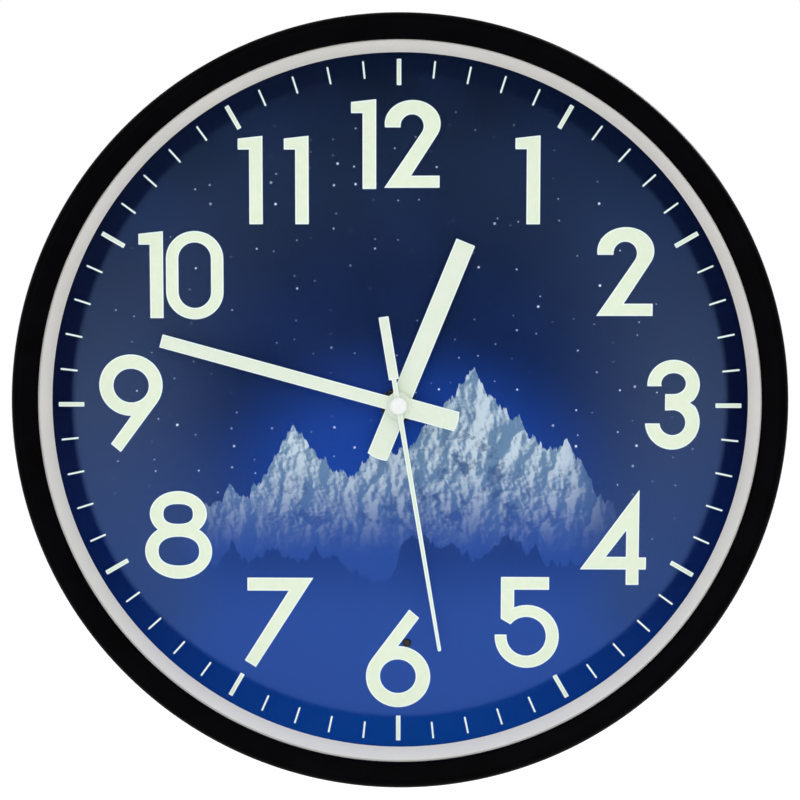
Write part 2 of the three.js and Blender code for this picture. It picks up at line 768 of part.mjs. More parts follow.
// Control board with its driver chip, on the cover's four posts
function controlBoard() {
  const outline = roundedRectangle(boardWidth, boardHeight, boardCorner, boardCentreX, sensorY);
  const chip = block(
    [boardCentreX + boardWidth / 8, sensorY - boardHeight / 8, boardFront - boardThickness / 2],
    [boardCentreX + boardWidth / 4, sensorY + boardHeight / 8, boardFront + boardThickness]);
  return cut(
    join(prism(outline, boardRear, boardFront), chip),
    ...boardPins.map((place) =>
      rod(boardPinRadius + seatGap, boardRear - overcut, boardFront + overcut, place)));
}
piece('control_board', controlBoard(), boardGreen);

// Light sensor: a domed body in the dial's hole, standing on two leads
function lightSensor() {
  const bodyRear = dialFront - sensorBodyLength;
  const body = solidOf(new THREE.LatheGeometry([
    [0, bodyRear],
    [sensorRadius + seatGap, bodyRear],
    [sensorRadius + seatGap, bodyRear + sensorCollar],
    [sensorRadius, bodyRear + sensorCollar],
    [sensorRadius, dialFront],
    [sensorRadius * Math.SQRT1_2, dialFront + sensorDome * Math.SQRT1_2],
    [0, dialFront + sensorDome],
  ].map(([radius, z]) => new THREE.Vector2(radius, z)), smallSides)
    .rotateX(Math.PI / 2).translate(sensorX, sensorY, 0));
  const leads = [-1, 1].map((side) => rod(
    sensorLeadRadius, boardFront + seatGap, bodyRear + sensorCollar,
    new THREE.Vector2(sensorX + side * sensorLeadSpread, sensorY), 6));
  return join(body, ...leads);
}
piece('light_sensor', lightSensor(), sensorOlive);

// Slide switch under the board, its slider reaching out through the cover
const sliderFront = boardRear - seatGap - switchWall - seatGap;
piece('switch_body', cut(
  block(
    [switchX - slotWidth / 2 - switchWall, sensorY - slotHeight / 2 - switchWall, coverFront + seatGap],
    [switchX + slotWidth / 2 + switchWall, sensorY + slotHeight / 2 + switchWall, boardRear - seatGap]),
  switchSlot(coverFront - overcut, sliderFront + seatGap),
), steel);
piece('switch_slider', block(
  [switchX - sliderWidth / 2, sensorY - sliderThickness / 2, coverRecess - sliderProud],
  [switchX + sliderWidth / 2, sensorY + sliderThickness / 2, coverFront + sliderDepth],
), coverPlastic);

// Insulated lead along its points
function lead(points) {
  const route = new THREE.CatmullRomCurve3(points.map((point) => new THREE.Vector3(...point)));
  const section = new THREE.Shape().absarc(0, 0, leadRadius, 0, 2 * Math.PI);
  return solidOf(new THREE.ExtrudeGeometry(section, { extrudePath: route, steps: 8, curveSegments: 4 }));
}
const leadLevel = coverFront + stiffenerHeight + seatGap + leadRadius;
const boardMiddle = (boardRear + boardFront) / 2;

// From the battery box to the board's right edge, as shares of the way across and down
const boxExit = new THREE.Vector2(ledCellX(0) + cellRadius, -boxHeight / 2 - seatGap - leadRadius);
const boardEntry = new THREE.Vector2(boardCentreX + boardWidth / 2 + seatGap, sensorY);
const batteryRoute = [[0, 0], [0.14, 0.29], [0.53, 0.75], [0.86, 0.97]].map(([across, down]) => [
  THREE.MathUtils.lerp(boxExit.x, boardEntry.x, across),
  THREE.MathUtils.lerp(boxExit.y, boardEntry.y, down),
  leadLevel,
]);
piece('battery_lead', lead([...batteryRoute, [boardEntry.x, boardEntry.y, boardMiddle]]), leadSleeve);

// From the board's lower edge through the rib's notch and up past the dial to the strip
const stripLeadY = -lensRadius - seatGap - leadRadius;
piece('strip_lead', lead([
  [stripLeadX, sensorY - boardHeight / 2 - seatGap, boardMiddle],
  [stripLeadX, -dialRibInner + 9 * dialRibWidth, leadLevel],
  [stripLeadX, -dialRibInner + 2 * dialRibWidth, leadLevel],
  [stripLeadX, stripLeadY + 2 * dialRibWidth, leadLevel],
  [stripLeadX, stripLeadY, dialRear - dialRibInset],
  [stripLeadX, stripLeadY, dialFront + stripRise + stripWidth / 2],
]), leadSleeve);

// Movement case: front shell with the threaded bush, posts and pivots
const pivotRadius = arborRadius + runGap;
const pivotBoss = (place, rear, front) => rod(pivotRadius + pivotWall, rear, front, place);
const caseOutline = (inset) => roundedRectangle(
  caseWidth - 2 * inset, caseHeight - 2 * inset, caseCorner - inset, 0, caseMiddle);
const caseBlock = (inset, rear, front) => prism(caseOutline(inset), rear, front);

function movementFrontCase() {
  const shell = cut(
    caseBlock(0, caseParting + seatGap, caseFront),
    caseBlock(caseWall, caseParting, caseInner));
  const wall = caseInner + caseWall / 2;
  const partition = block(
    [-caseWidth / 2 + caseWall / 2, partitionY, caseParting + seatGap],
    [caseWidth / 2 - caseWall / 2, partitionTop, wall]);
  const minuteWorkPost = rod(arborRadius, motionLayer, wall, minuteWorkAxis);
  return cut(
    join(
      shell,
      partition,
      rod(bushRadius, wall, bushFront, handAxis, middleSides),
      ...postPlaces.map((place) => rod(postRadius, plateFront + seatGap, wall, place)),
      minuteWorkPost,
      pivotBoss(thirdAxis, caseInner - pivotHeight, wall),
      pivotBoss(knobAxis, caseInner - layerGap, wall)),
    rod(bushBoreRadius, caseInner - overcut, bushFront + overcut, handAxis, middleSides),
    rod(pivotRadius, caseInner - 2 * pivotHeight, caseInner, thirdAxis),
    rod(pivotRadius, caseInner - pivotHeight, caseInner + caseWall / 3, knobAxis));
}
piece('movement_front_case', movementFrontCase(), blackPlastic);

function movementRearCase() {
  const shell = cut(
    caseBlock(0, caseRear, caseParting - seatGap),
    caseBlock(caseWall, caseFloor, caseParting));
  const rearPivots = [handAxis, thirdAxis, fifthAxis, rotorAxis];
  const foot = caseFloor - caseRearWall / 2;
  const cellWindow = block(
    [-caseWidth / 2 + caseWall, caseLow + caseWall, caseRear - overcut],
    [caseWidth / 2 - caseWall, partitionY, caseParting]);
  const partition = block(
    [-caseWidth / 2 + caseWall / 2, partitionY, foot],
    [caseWidth / 2 - caseWall / 2, partitionTop, caseParting - seatGap]);
  const boardPosts = [-1, 1].map((side) => rod(postRadius, foot, movementBoardRear - seatGap,
    new THREE.Vector2(movementBoardX + side * movementBoardWidth / 3, movementBoardY)));
  const statorPosts = [-1, 1].map((side) => rod(statorArm / 2, foot, statorRear - seatGap,
    new THREE.Vector2(coilCentreX + side * (coilLength + statorArm) / 2, coilY)));
  return cut(
    join(
      cut(shell, cellWindow),
      partition,
      ...boardPosts,
      ...statorPosts,
      ...postPlaces.map((place) => rod(postRadius, foot, plateRear - seatGap, place)),
      ...rearPivots.map((place) => pivotBoss(place, foot, pivotFront))),
    rod(knobShaftRadius + runGap, caseRear - overcut, caseFloor + overcut, knobAxis, middleSides),
    ...rearPivots.map((place) => rod(pivotRadius, caseFloor, pivotFront + overcut, place)));
}

piece('movement_rear_case', movementRearCase(), blackPlastic);

piece('bush_gasket', cut(
  rod(bushRadius + gasketWidth, gasketFront - gasketThickness, gasketFront, handAxis, middleSides),
  rod(bushRadius + seatGap, caseFront, dialFront, handAxis, middleSides),
), rubber);
piece('bush_washer', cut(
  rod(bushRadius + washerWidth, washerRear, washerRear + washerThickness, handAxis, middleSides),
  rod(bushRadius + seatGap, dialFront, nutRear, handAxis, middleSides),
), brass);
piece('bush_nut', cut(
  rod((bushRadius + seatGap + nutWall) * 2 / Math.sqrt(3), nutRear, nutRear + nutThickness, handAxis, 6),
  rod(bushRadius + seatGap, washerRear, nutRear + nutThickness + overcut, handAxis, middleSides),
), brass);

// Train plate: carries the front pivots of the fifth wheel and the rotor
function trainPlate() {
  const low = partitionTop + seatGap;
  const high = caseHigh - caseWall - seatGap;
  const width = caseWidth - 2 * caseWall - 2 * seatGap;
  const through = (radius, place) => rod(radius, plateRear - overcut, plateFront + overcut, place);
  const outline = roundedRectangle(width, high - low, caseCorner - caseWall, 0, (low + high) / 2);
  return cut(
    prism(outline, plateRear, plateFront),
    through(pivotRadius, handAxis),
    through(pivotRadius, fifthAxis),
    through(pivotRadius, rotorAxis),
    through(pivotRadius, thirdAxis),
    through(knobShaftRadius + runGap, knobAxis));
}
piece('train_plate', trainPlate(), blackPlastic);

const clockCell = cell().rotateZ(-Math.PI / 2);
piece('clock_cell', solidOf(clockCell.translate(0, clockCellY, clockCellZ)), cellJacket);

// Cell contacts of the movement, one at each end wall
const clockContact = (end) => {
  const reach = contactRoom - 2 * seatGap;
  const leaf = leafContact(reach, clockContactThickness, -contactWidth / 2, contactWidth / 2);
  const facing = new THREE.Matrix4().makeBasis(
    new THREE.Vector3(0, 1, 0), new THREE.Vector3(-end, 0, 0), new THREE.Vector3(0, 0, 1));
  facing.setPosition(end * (caseWidth / 2 - caseWall - seatGap), clockCellY, clockCellZ);
  return moved(leaf, facing);
};
piece('clock_contact_plus', clockContact(1), steel);
piece('clock_contact_minus', clockContact(-1), steel);

// Movement board with its sealed chip, and the quartz crystal on it
const chipSeal = new THREE.SphereGeometry(chipSealRadius, smallSides, 4)
  .scale(1, 1, chipSealHeight / chipSealRadius)
  .translate(movementBoardX + movementBoardWidth / 5, movementBoardY, movementBoardFront);
piece('movement_board', join(
  prism(
    roundedRectangle(movementBoardWidth, movementBoardHeight, boardCorner, movementBoardX, movementBoardY),
    movementBoardRear, movementBoardFront),
  solidOf(chipSeal),
), boardGreen);
const crystal = new THREE.CylinderGeometry(crystalRadius, crystalRadius, crystalLength, smallSides);
const crystalZ = movementBoardFront + seatGap + crystalRadius;
piece('quartz_crystal', solidOf(crystal.translate(
  movementBoardX - movementBoardWidth / 4, movementBoardY, crystalZ)), steel);

// Stator: one plate with the rotor's hole in its band and an arm to each end of the coil's core
function stator() {
  const [left, right] = [coilCentreX - coreHalf, coilCentreX + coreHalf];
  const bandHalf = magnetRadius + statorGap + statorWall;
  const band = prism(polygon([
    [left, rotorAxis.y - bandHalf],
    [right, rotorAxis.y - bandHalf],
    [right, coilY + statorArm / 2],
    [right - statorArm, coilY + statorArm / 2],
    [right - statorArm, rotorAxis.y + bandHalf],
    [left + statorArm, rotorAxis.y + bandHalf],
    [left + statorArm, coilY + statorArm / 2],
    [left, coilY + statorArm / 2],
  ]), statorRear, statorFront);
  const rotorHole = rod(
    magnetRadius + statorGap, statorRear - overcut, statorFront + overcut, rotorAxis, middleSides);
  return cut(band, rotorHole);
}
piece('stator', stator(), darkSteel);
piece('coil_core', block(
  [coilCentreX - coreHalf, coilY - coreWidth / 2, coreRear],
  [coilCentreX + coreHalf, coilY + coreWidth / 2, coreRear + coreThickness],
), darkSteel);

// Bar round the coil's axis, along x
const coilBar = (radius, from, to) => moved(
  rod(radius, from, to, new THREE.Vector2(coilY, coilZ)), sectionAlongX);
const wireInner = coilRadius - coilWireDepth;
const barrelRadius = wireInner - runGap;
const bobbinHalf = coilLength / 2 - seatGap;
const flangeRadius = coilRadius + bobbinFlange;
piece('coil_bobbin', cut(
  join(
    coilBar(barrelRadius, coilCentreX - bobbinHalf, coilCentreX + bobbinHalf),
    coilBar(flangeRadius, coilCentreX - bobbinHalf, coilCentreX - bobbinHalf + bobbinEnd),
    coilBar(flangeRadius, coilCentreX + bobbinHalf - bobbinEnd, coilCentreX + bobbinHalf)),
  block(
    [coilCentreX - coilLength, coilY - coreWidth / 2 - runGap, coreRear - runGap],
    [coilCentreX + coilLength, coilY + coreWidth / 2 + runGap, coreRear + coreThickness + runGap]),
), wheelPlastic);
const wireHalf = bobbinHalf - bobbinEnd - runGap;
piece('coil_winding', cut(
  coilBar(coilRadius, coilCentreX - wireHalf, coilCentreX + wireHalf),
  coilBar(wireInner, coilCentreX - coilLength, coilCentreX + coilLength),
), copper);

// Wheel train from the minute hand out to both ends, each wheel set to its driver's teeth
const minuteWorkTooth = meshedTooth(handAxis, cannonTeeth, 0, minuteWorkAxis, minuteWorkTeeth);
const knobTooth = meshedTooth(minuteWorkAxis, minuteWorkTeeth, minuteWorkTooth, knobAxis, knobTeeth);
const hourTooth = meshedTooth(minuteWorkAxis, minuteWorkPinionTeeth, 0, handAxis, hourTeeth);
const thirdPinionTooth = meshedTooth(handAxis, centreTeeth, 0, thirdAxis, thirdPinionTeeth);
const secondPinionTooth = meshedTooth(thirdAxis, thirdTeeth, 0, handAxis, secondPinionTeeth);
const fifthPinionTooth = meshedTooth(handAxis, secondTeeth, 0, fifthAxis, fifthPinionTeeth);
const rotorTooth = meshedTooth(fifthAxis, fifthTeeth, 0, rotorAxis, rotorTeeth);

// Centre wheel with the cannon pinion and the pipe that carries the minute hand
piece('centre_wheel', cut(
  join(
    toothedDisc(centreTeeth, centreModule, 0, centreLayer, handAxis),
    toothedDisc(cannonTeeth, motionModule, 0, motionLayer, handAxis),
    rod(minutePipeRadius, centreLayer, minuteHandRear + hubThickness + handGap / 2)),
  rod(minuteBoreRadius, centreLayer - overcut, secondHandRear),
), wheelPlastic);

// Hour wheel and its pipe round the minute pipe
piece('hour_wheel', cut(
  join(
    toothedDisc(hourTeeth, hourModule, hourTooth, hourLayer, handAxis),
    rod(hourPipeRadius, hourLayer, hourHandRear + hubThickness + handGap / 2)),
  rod(hourBoreRadius, hourLayer - overcut, minuteHandRear),
), wheelPlastic);

// Minute-work wheel and pinion, running on the front case's post
const minuteWorkHub = rootRadius(minuteWorkPinionTeeth, hourModule);
piece('minute_work_wheel', cut(
  join(
    toothedDisc(minuteWorkTeeth, motionModule, minuteWorkTooth, motionLayer, minuteWorkAxis),
    toothedDisc(minuteWorkPinionTeeth, hourModule, 0, hourLayer, minuteWorkAxis),
    rod(minuteWorkHub, motionLayer, hourLayer + wheelThickness, minuteWorkAxis)),
  rod(pivotRadius, motionLayer - overcut, caseInner, minuteWorkAxis),
), wheelPlastic);

piece('third_wheel', join(
  toothedDisc(thirdTeeth, thirdModule, 0, thirdLayer, thirdAxis),
  toothedDisc(thirdPinionTeeth, centreModule, thirdPinionTooth, centreLayer, thirdAxis),
  rod(arborRadius, pivotEnd, caseInner - pivotHeight / 3, thirdAxis),
), wheelPlastic);

// Second wheel on the arbor that runs out through both pipes to the second hand
piece('second_wheel', join(
  toothedDisc(secondTeeth, secondModule, 0, secondLayer, handAxis),
  toothedDisc(secondPinionTeeth, thirdModule, secondPinionTooth, thirdLayer, handAxis),
  rod(arborRadius, pivotEnd, secondHandRear + handThickness + seatGap / 2),
), wheelPlastic);

piece('fifth_wheel', join(
  toothedDisc(fifthTeeth, fifthModule, 0, fifthLayer, fifthAxis),
  toothedDisc(fifthPinionTeeth, secondModule, fifthPinionTooth, secondLayer, fifthAxis),
  rod(arborRadius, pivotEnd, plateFront - plateThickness / 3, fifthAxis),
), wheelPlastic);

piece('rotor_pinion', join(
  toothedDisc(rotorTeeth, fifthModule, rotorTooth, fifthLayer, rotorAxis),
  rod(arborRadius, pivotEnd, plateFront - plateThickness / 3, rotorAxis),
), pinionPlastic);
piece('rotor_magnet', cut(
  rod(magnetRadius, magnetRear, magnetFront, rotorAxis, middleSides),
  rod(arborRadius + runGap, magnetRear - overcut, magnetFront + overcut, rotorAxis),
), magnetGrey);

// Setting knob: a fluted disc outside the rear case on a shaft to the minute-work wheel
function settingKnob() {
  const rim = turnsOf(2 * knobFlutes).map((turn, n) => {
    const radius = knobRadius - (n % 2) * knobFluteDepth;
    return [knobAxis.x + radius * Math.cos(turn), knobAxis.y + radius * Math.sin(turn)];
  });
  const front = caseRear - seatGap;
  return join(
    prism(polygon(rim), front - knobHeight, front),
    rod(knobShaftRadius, front - knobHeight / 2, motionLayer + wheelThickness / 2, knobAxis),
    toothedDisc(knobTeeth, motionModule, knobTooth, motionLayer, knobAxis),
    rod(arborRadius, motionLayer, caseInner, knobAxis));
}
piece('setting_knob', settingKnob(), blackPlastic);

// Hands: flat blades drawn pointing to twelve, then turned clockwise to the time shown
function baton(length, width, tail, tailWidth) {
  const blade = new THREE.Shape();
  blade.moveTo(-width / 2, 0);
  blade.lineTo(-tailWidth / 2, 0);
  blade.lineTo(-tailWidth / 2, -tail + tailWidth / 8);
  blade.quadraticCurveTo(0, -tail - tailWidth / 8, tailWidth / 2, -tail + tailWidth / 8);
  blade.lineTo(tailWidth / 2, 0);
  blade.lineTo(width / 2, 0);
  blade.lineTo(width / 2, length);
  blade.lineTo(-width / 2, length);
  return blade;
}

function hand(blade, rear, hubRadius, boreRadius, clockwise) {
  const plate = prism(blade, rear, rear + handThickness, bladeSegments);
  const hub = rod(hubRadius, rear, rear + hubThickness, handAxis, middleSides);
  const bore = rod(boreRadius, rear - overcut, rear + hubThickness + overcut);
  return moved(cut(join(plate, hub), bore), aboutZ(-THREE.MathUtils.degToRad(clockwise)));
}

piece('hour_hand', hand(
  baton(hourLength, hourWidth, hourTail, hourTailWidth),
  hourHandRear, hourHubRadius, hourPipeRadius + runGap, hourAngle), handPaint);
piece('minute_hand', hand(
  baton(minuteLength, minuteWidth, minuteTail, minuteTailWidth),
  minuteHandRear, minuteHubRadius, minutePipeRadius + runGap, minuteAngle), handPaint);

// Second hand: a tapered needle with a round tip and a bar for a counterweight
function secondHand() {
  const needle = new THREE.Shape();
  needle.moveTo(-secondTailWidth / 2, -secondTail);
  needle.lineTo(secondTailWidth / 2, -secondTail);
  needle.lineTo(secondTailWidth / 2, -secondStem);
  needle.lineTo(secondStemWidth / 2, -secondStem);
  needle.lineTo(secondWidth / 2, 0);
  needle.lineTo(secondTipWidth / 2, secondLength - secondTipWidth / 2);
  needle.absarc(0, secondLength - secondTipWidth / 2, secondTipWidth / 2, 0, Math.PI, false);
  needle.lineTo(-secondWidth / 2, 0);
  needle.lineTo(-secondStemWidth / 2, -secondStem);
  needle.lineTo(-secondTailWidth / 2, -secondStem);
  const front = secondHandRear + handThickness;
  const plate = join(
    prism(needle, secondHandRear, front, bladeSegments),
    rod(capRadius - seatGap, secondHandRear, front, handAxis, middleSides));
  const bore = rod(arborRadius + runGap, secondHandRear - overcut, front + overcut);
  return moved(cut(plate, bore), aboutZ(-THREE.MathUtils.degToRad(secondAngle)));
}
piece('second_hand', secondHand(), handPaint);

const capDome = [0, 1, 2].map((step) => step / 3 * Math.PI / 2).map((turn) =>
  [capRadius * Math.cos(turn), capRear + capHeight / 2 * (1 + Math.sin(turn))]);
piece('second_hand_cap', turned([
  [0, capRear],
  [capRadius, capRear],
  ...capDome,
  [0, capRear + capHeight],
], middleSides), capPaint);

// The clock hangs upright, its dial towards -Y
clock.rotation.x = Math.PI / 2;

export default clock;
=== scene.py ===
"""Looks of a round wall clock with an LED night light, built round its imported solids.

Outlines are drawn in millimetres facing the viewer: x right, y up to twelve, z out from the wall.
"""
from math import acos, ceil, copysign, cos, degrees, pi, radians, sin, tan

import bmesh
import bpy
from mathutils import Matrix, Vector
from mathutils.geometry import tessellate_polygon


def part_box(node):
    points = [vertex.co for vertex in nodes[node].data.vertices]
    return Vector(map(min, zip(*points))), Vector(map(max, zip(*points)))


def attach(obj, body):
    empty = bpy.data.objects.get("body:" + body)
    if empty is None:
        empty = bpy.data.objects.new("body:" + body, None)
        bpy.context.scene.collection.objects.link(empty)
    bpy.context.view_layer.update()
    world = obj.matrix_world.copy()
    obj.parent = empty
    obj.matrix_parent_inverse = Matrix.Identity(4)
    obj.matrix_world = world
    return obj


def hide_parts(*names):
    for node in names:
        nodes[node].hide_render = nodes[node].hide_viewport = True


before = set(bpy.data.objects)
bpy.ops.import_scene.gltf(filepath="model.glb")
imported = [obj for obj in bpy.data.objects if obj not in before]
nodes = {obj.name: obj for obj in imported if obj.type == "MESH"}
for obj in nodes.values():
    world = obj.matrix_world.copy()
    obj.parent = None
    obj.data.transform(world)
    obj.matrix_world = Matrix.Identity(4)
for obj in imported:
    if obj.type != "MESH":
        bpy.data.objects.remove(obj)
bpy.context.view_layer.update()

# Units, the turn that stands a drawn outline upright with its front towards -Y, and a square's corners
MM = 0.001
UPRIGHT = Matrix.Scale(MM, 4) @ Matrix.Rotation(pi / 2, 4, "X")
IDENTITY = Matrix.Identity(4)
SQUARE = [(-1, -1), (1, -1), (1, 1), (-1, 1)]

# Sides of turned pieces, and the steps of rounded corners and of arcs
LARGE_SIDES = 240
MIDDLE_SIDES = 64
SMALL_SIDES = 32
PIN_SIDES = 24
WIRE_SIDES = 12
CORNER_STEPS = 5
ARC_STEP = 5

# Degrees from which an edge is shaded as sharp, and from which it is rounded
SHADE_FROM = 35
SOFTEN_FROM = 40
SOFT_SEGMENTS = 2
WELD_REACH = 1e-6

# Longest edge that counts as collapsed after a carve, and how far a tool reaches past what it cuts
COLLAPSED = 0.001
PAST = 1


def spans(node):
    """Left and right, bottom and top, rear and front of a solid."""
    low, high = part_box(node)
    return (low.x / MM, high.x / MM), (low.z / MM, high.z / MM), (-high.y / MM, -low.y / MM)


def levels(node):
    """Rear and front of a solid."""
    return spans(node)[2]


def reach(node):
    """Right of a solid, which is the radius of a piece about the hands' axis."""
    return spans(node)[0][1]


def middle(node):
    """Centre of a solid as seen from the front."""
    across, up, _ = spans(node)
    return sum(across) / 2, sum(up) / 2


def add_object(name, data):
    made = bpy.data.objects.new(name, data)
    bpy.context.scene.collection.objects.link(made)
    return made


# Outlines

def turns(count):
    return [2 * pi * n / count for n in range(count)]


def circle(radius, centre=(0, 0), sides=SMALL_SIDES):
    return [(centre[0] + radius * cos(t), centre[1] + radius * sin(t)) for t in turns(sides)]


def arc(centre_x, centre_y, radius_x, radius_y, start, end, step=ARC_STEP):
    """Points along an ellipse between two angles in degrees."""
    count = max(2, ceil(abs(end - start) / step))
    angles = [radians(start + (end - start) * n / count) for n in range(count + 1)]
    return [(centre_x + radius_x * cos(a), centre_y + radius_y * sin(a)) for a in angles]


def polar(centre, radius, angle):
    """Point at a distance from a centre and an angle in degrees."""
    return centre[0] + radius * cos(radians(angle)), centre[1] + radius * sin(radians(angle))


def rounded(corners, closed=True):
    """Rounds an outline whose corners are (x, y) or (x, y, radius)."""
    points = []
    for n, corner in enumerate(corners):
        here = Vector(corner[:2])
        at_end = not closed and n in (0, len(corners) - 1)
        if len(corner) < 3 or at_end:
            points.append(tuple(here))
            continue
        before = (Vector(corners[n - 1][:2]) - here).normalized()
        after = (Vector(corners[(n + 1) % len(corners)][:2]) - here).normalized()
        half = before.angle(after) / 2
        centre = here + (before + after).normalized() * corner[2] / sin(half)
        start = here + before * corner[2] / tan(half) - centre
        sweep = start.angle_signed(here + after * corner[2] / tan(half) - centre)
        for step in range(CORNER_STEPS + 1):
            turn = -sweep * step / CORNER_STEPS
            points.append(tuple(centre + Matrix.Rotation(turn, 2) @ start))
    return points


def rectangle(width, height, corner, centre):
    x, y = centre
    return rounded([(x + a * width / 2, y + b * height / 2, corner) for a, b in SQUARE])


def inset(outline, depth):
    """Moves each side of an outline inwards, or outwards for a negative depth."""
    following = outline[1:] + outline[:1]
    area = sum(a[0] * b[1] - b[0] * a[1] for a, b in zip(outline, following))
    side = 1 if area > 0 else -1
    points = []
    for n, corner in enumerate(outline):
        here = Vector(corner)
        before = (here - Vector(outline[n - 1])).normalized()
        after = (Vector(outline[(n + 1) % len(outline)]) - here).normalized()
        normal = Vector((-(before + after).y, (before + after).x)).normalized() * side
        lean = normal.dot(Vector((-before.y, before.x)) * side)
        points.append(tuple(here + normal * depth / lean))
    return points


class Form:
    """Closed shapes in millimetres that make up one piece."""

    def __init__(self):
        self.mesh = bmesh.new()

    def _corner(self, place, x, y, z):
        return self.mesh.verts.new(place @ Vector((x, y, z)))

    def _face(self, corners, slot):
        corners = list(dict.fromkeys(corners))
        if len(corners) > 2:
            self.mesh.faces.new(corners).material_index = slot

    def lathe(self, profile, sides=LARGE_SIDES, ring=False, place=IDENTITY, slots=None):
        """Revolves (radius, z) corners; a ring's profile closes on its first corner."""
        rows = []
        for radius, z in profile:
            angles = turns(sides) if radius > 0 else [0.0]
            rows.append([self._corner(place, radius * cos(t), radius * sin(t), z) for t in angles])
        pairs = list(zip(rows, rows[1:])) + ([(rows[-1], rows[0])] if ring else [])
        for level, (low, high) in enumerate(pairs):
            for n in range(sides):
                around = (low[n % len(low)], low[(n + 1) % len(low)],
                          high[(n + 1) % len(high)], high[n % len(high)])
                self._face(around, slots[level] if slots else 0)
        return self

    def cylinder(self, radius, rear, front, sides, place=IDENTITY):
        profile = [(0, rear), (radius, rear), (radius, front), (0, front)]
        return self.lathe(profile, sides, place=place)

    def prism(self, outline, rear, front, holes=(), place=IDENTITY, slot=0, front_slot=None):
        """Extrudes an outline with holes between two levels; the front may have a finish of its own."""
        loops = [outline, *holes]
        caps = []
        for z in (rear, front):
            caps.append([[self._corner(place, x, y, z) for x, y in loop] for loop in loops])
        for low, high in zip(*caps):
            for n in range(len(low)):
                self._face((low[n - 1], low[n], high[n], high[n - 1]), slot)
        triangles = tessellate_polygon([[Vector((x, y, 0)) for x, y in loop] for loop in loops])
        for cap, finish in zip(caps, (slot, slot if front_slot is None else front_slot)):
            corners = [corner for loop in cap for corner in loop]
            if holes:
                for triangle in triangles:
                    self._face([corners[n] for n in triangle], finish)
            else:
                self._face(corners, finish)
        return self

    def block(self, low, high, place=IDENTITY):
        outline = [(low[0], low[1]), (high[0], low[1]), (high[0], high[1]), (low[0], high[1])]
        return self.prism(outline, low[2], high[2], place=place)

    def plain_object(self):
        """Hands the shapes over to an object, with their faces turned outwards."""
        bmesh.ops.recalc_face_normals(self.mesh, faces=self.mesh.faces)
        if self.mesh.calc_volume(signed=True) < 0:
            bmesh.ops.reverse_faces(self.mesh, faces=self.mesh.faces)
        mesh = bpy.data.meshes.new("form")
        self.mesh.to_mesh(mesh)
        self.mesh.free()
        return add_object("form", mesh)

    def carve(self, operation, *tools):
        """Joins other forms (UNION), cuts them out (DIFFERENCE) or keeps the overlap (INTERSECT)."""
        main = self.plain_object()
        others = [tool.plain_object() for tool in tools]
        for other in others:
            step = main.modifiers.new("carve", "BOOLEAN")
            step.operation = operation
            step.solver = "EXACT"
            step.object = other
        graph = bpy.context.evaluated_depsgraph_get()
        result = Form()
        result.mesh.from_mesh(main.evaluated_get(graph).to_mesh())
        bmesh.ops.dissolve_degenerate(result.mesh, dist=COLLAPSED, edges=result.mesh.edges)
        for used in (main, *others):
            bpy.data.meshes.remove(used.data)
        return result


def soften(made, width):
    """Rounds an object's sharp edges."""
    weld = made.modifiers.new("weld", "WELD")
    weld.merge_threshold = WELD_REACH
    bevel = made.modifiers.new("soft_edges", "BEVEL")
    bevel.width = width * MM
    bevel.segments = SOFT_SEGMENTS
    bevel.limit_method = "ANGLE"
    bevel.angle_limit = radians(SOFTEN_FROM)
    bevel.harden_normals = True


def piece(name, form, looks, body, replaces=(), edge=0.0):
    """Makes a form into a finished piece that rides on a body."""
    form.mesh.transform(UPRIGHT)
    made = form.plain_object()
    made.name = name
    made.data.name = name
    made.data.shade_smooth()
    made.data.set_sharp_from_angle(angle=radians(SHADE_FROM))
    for look in looks:
        made.data.materials.append(LOOKS[look])
    if edge:
        soften(made, edge)
    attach(made, body)
    if replaces:
        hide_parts(*replaces)
    return made


# Materials

def linear(red, green, blue):
    """Colour as seen, 0 to 255, to the shader's linear values."""
    values = [c / 255 for c in (red, green, blue)]
    return (*[c / 12.92 if c < 0.04045 else ((c + 0.055) / 1.055) ** 2.4 for c in values], 1.0)


def sheen(level):
    return {"Specular IOR Level": level}


def metal(share):
    return {"Metallic": share}


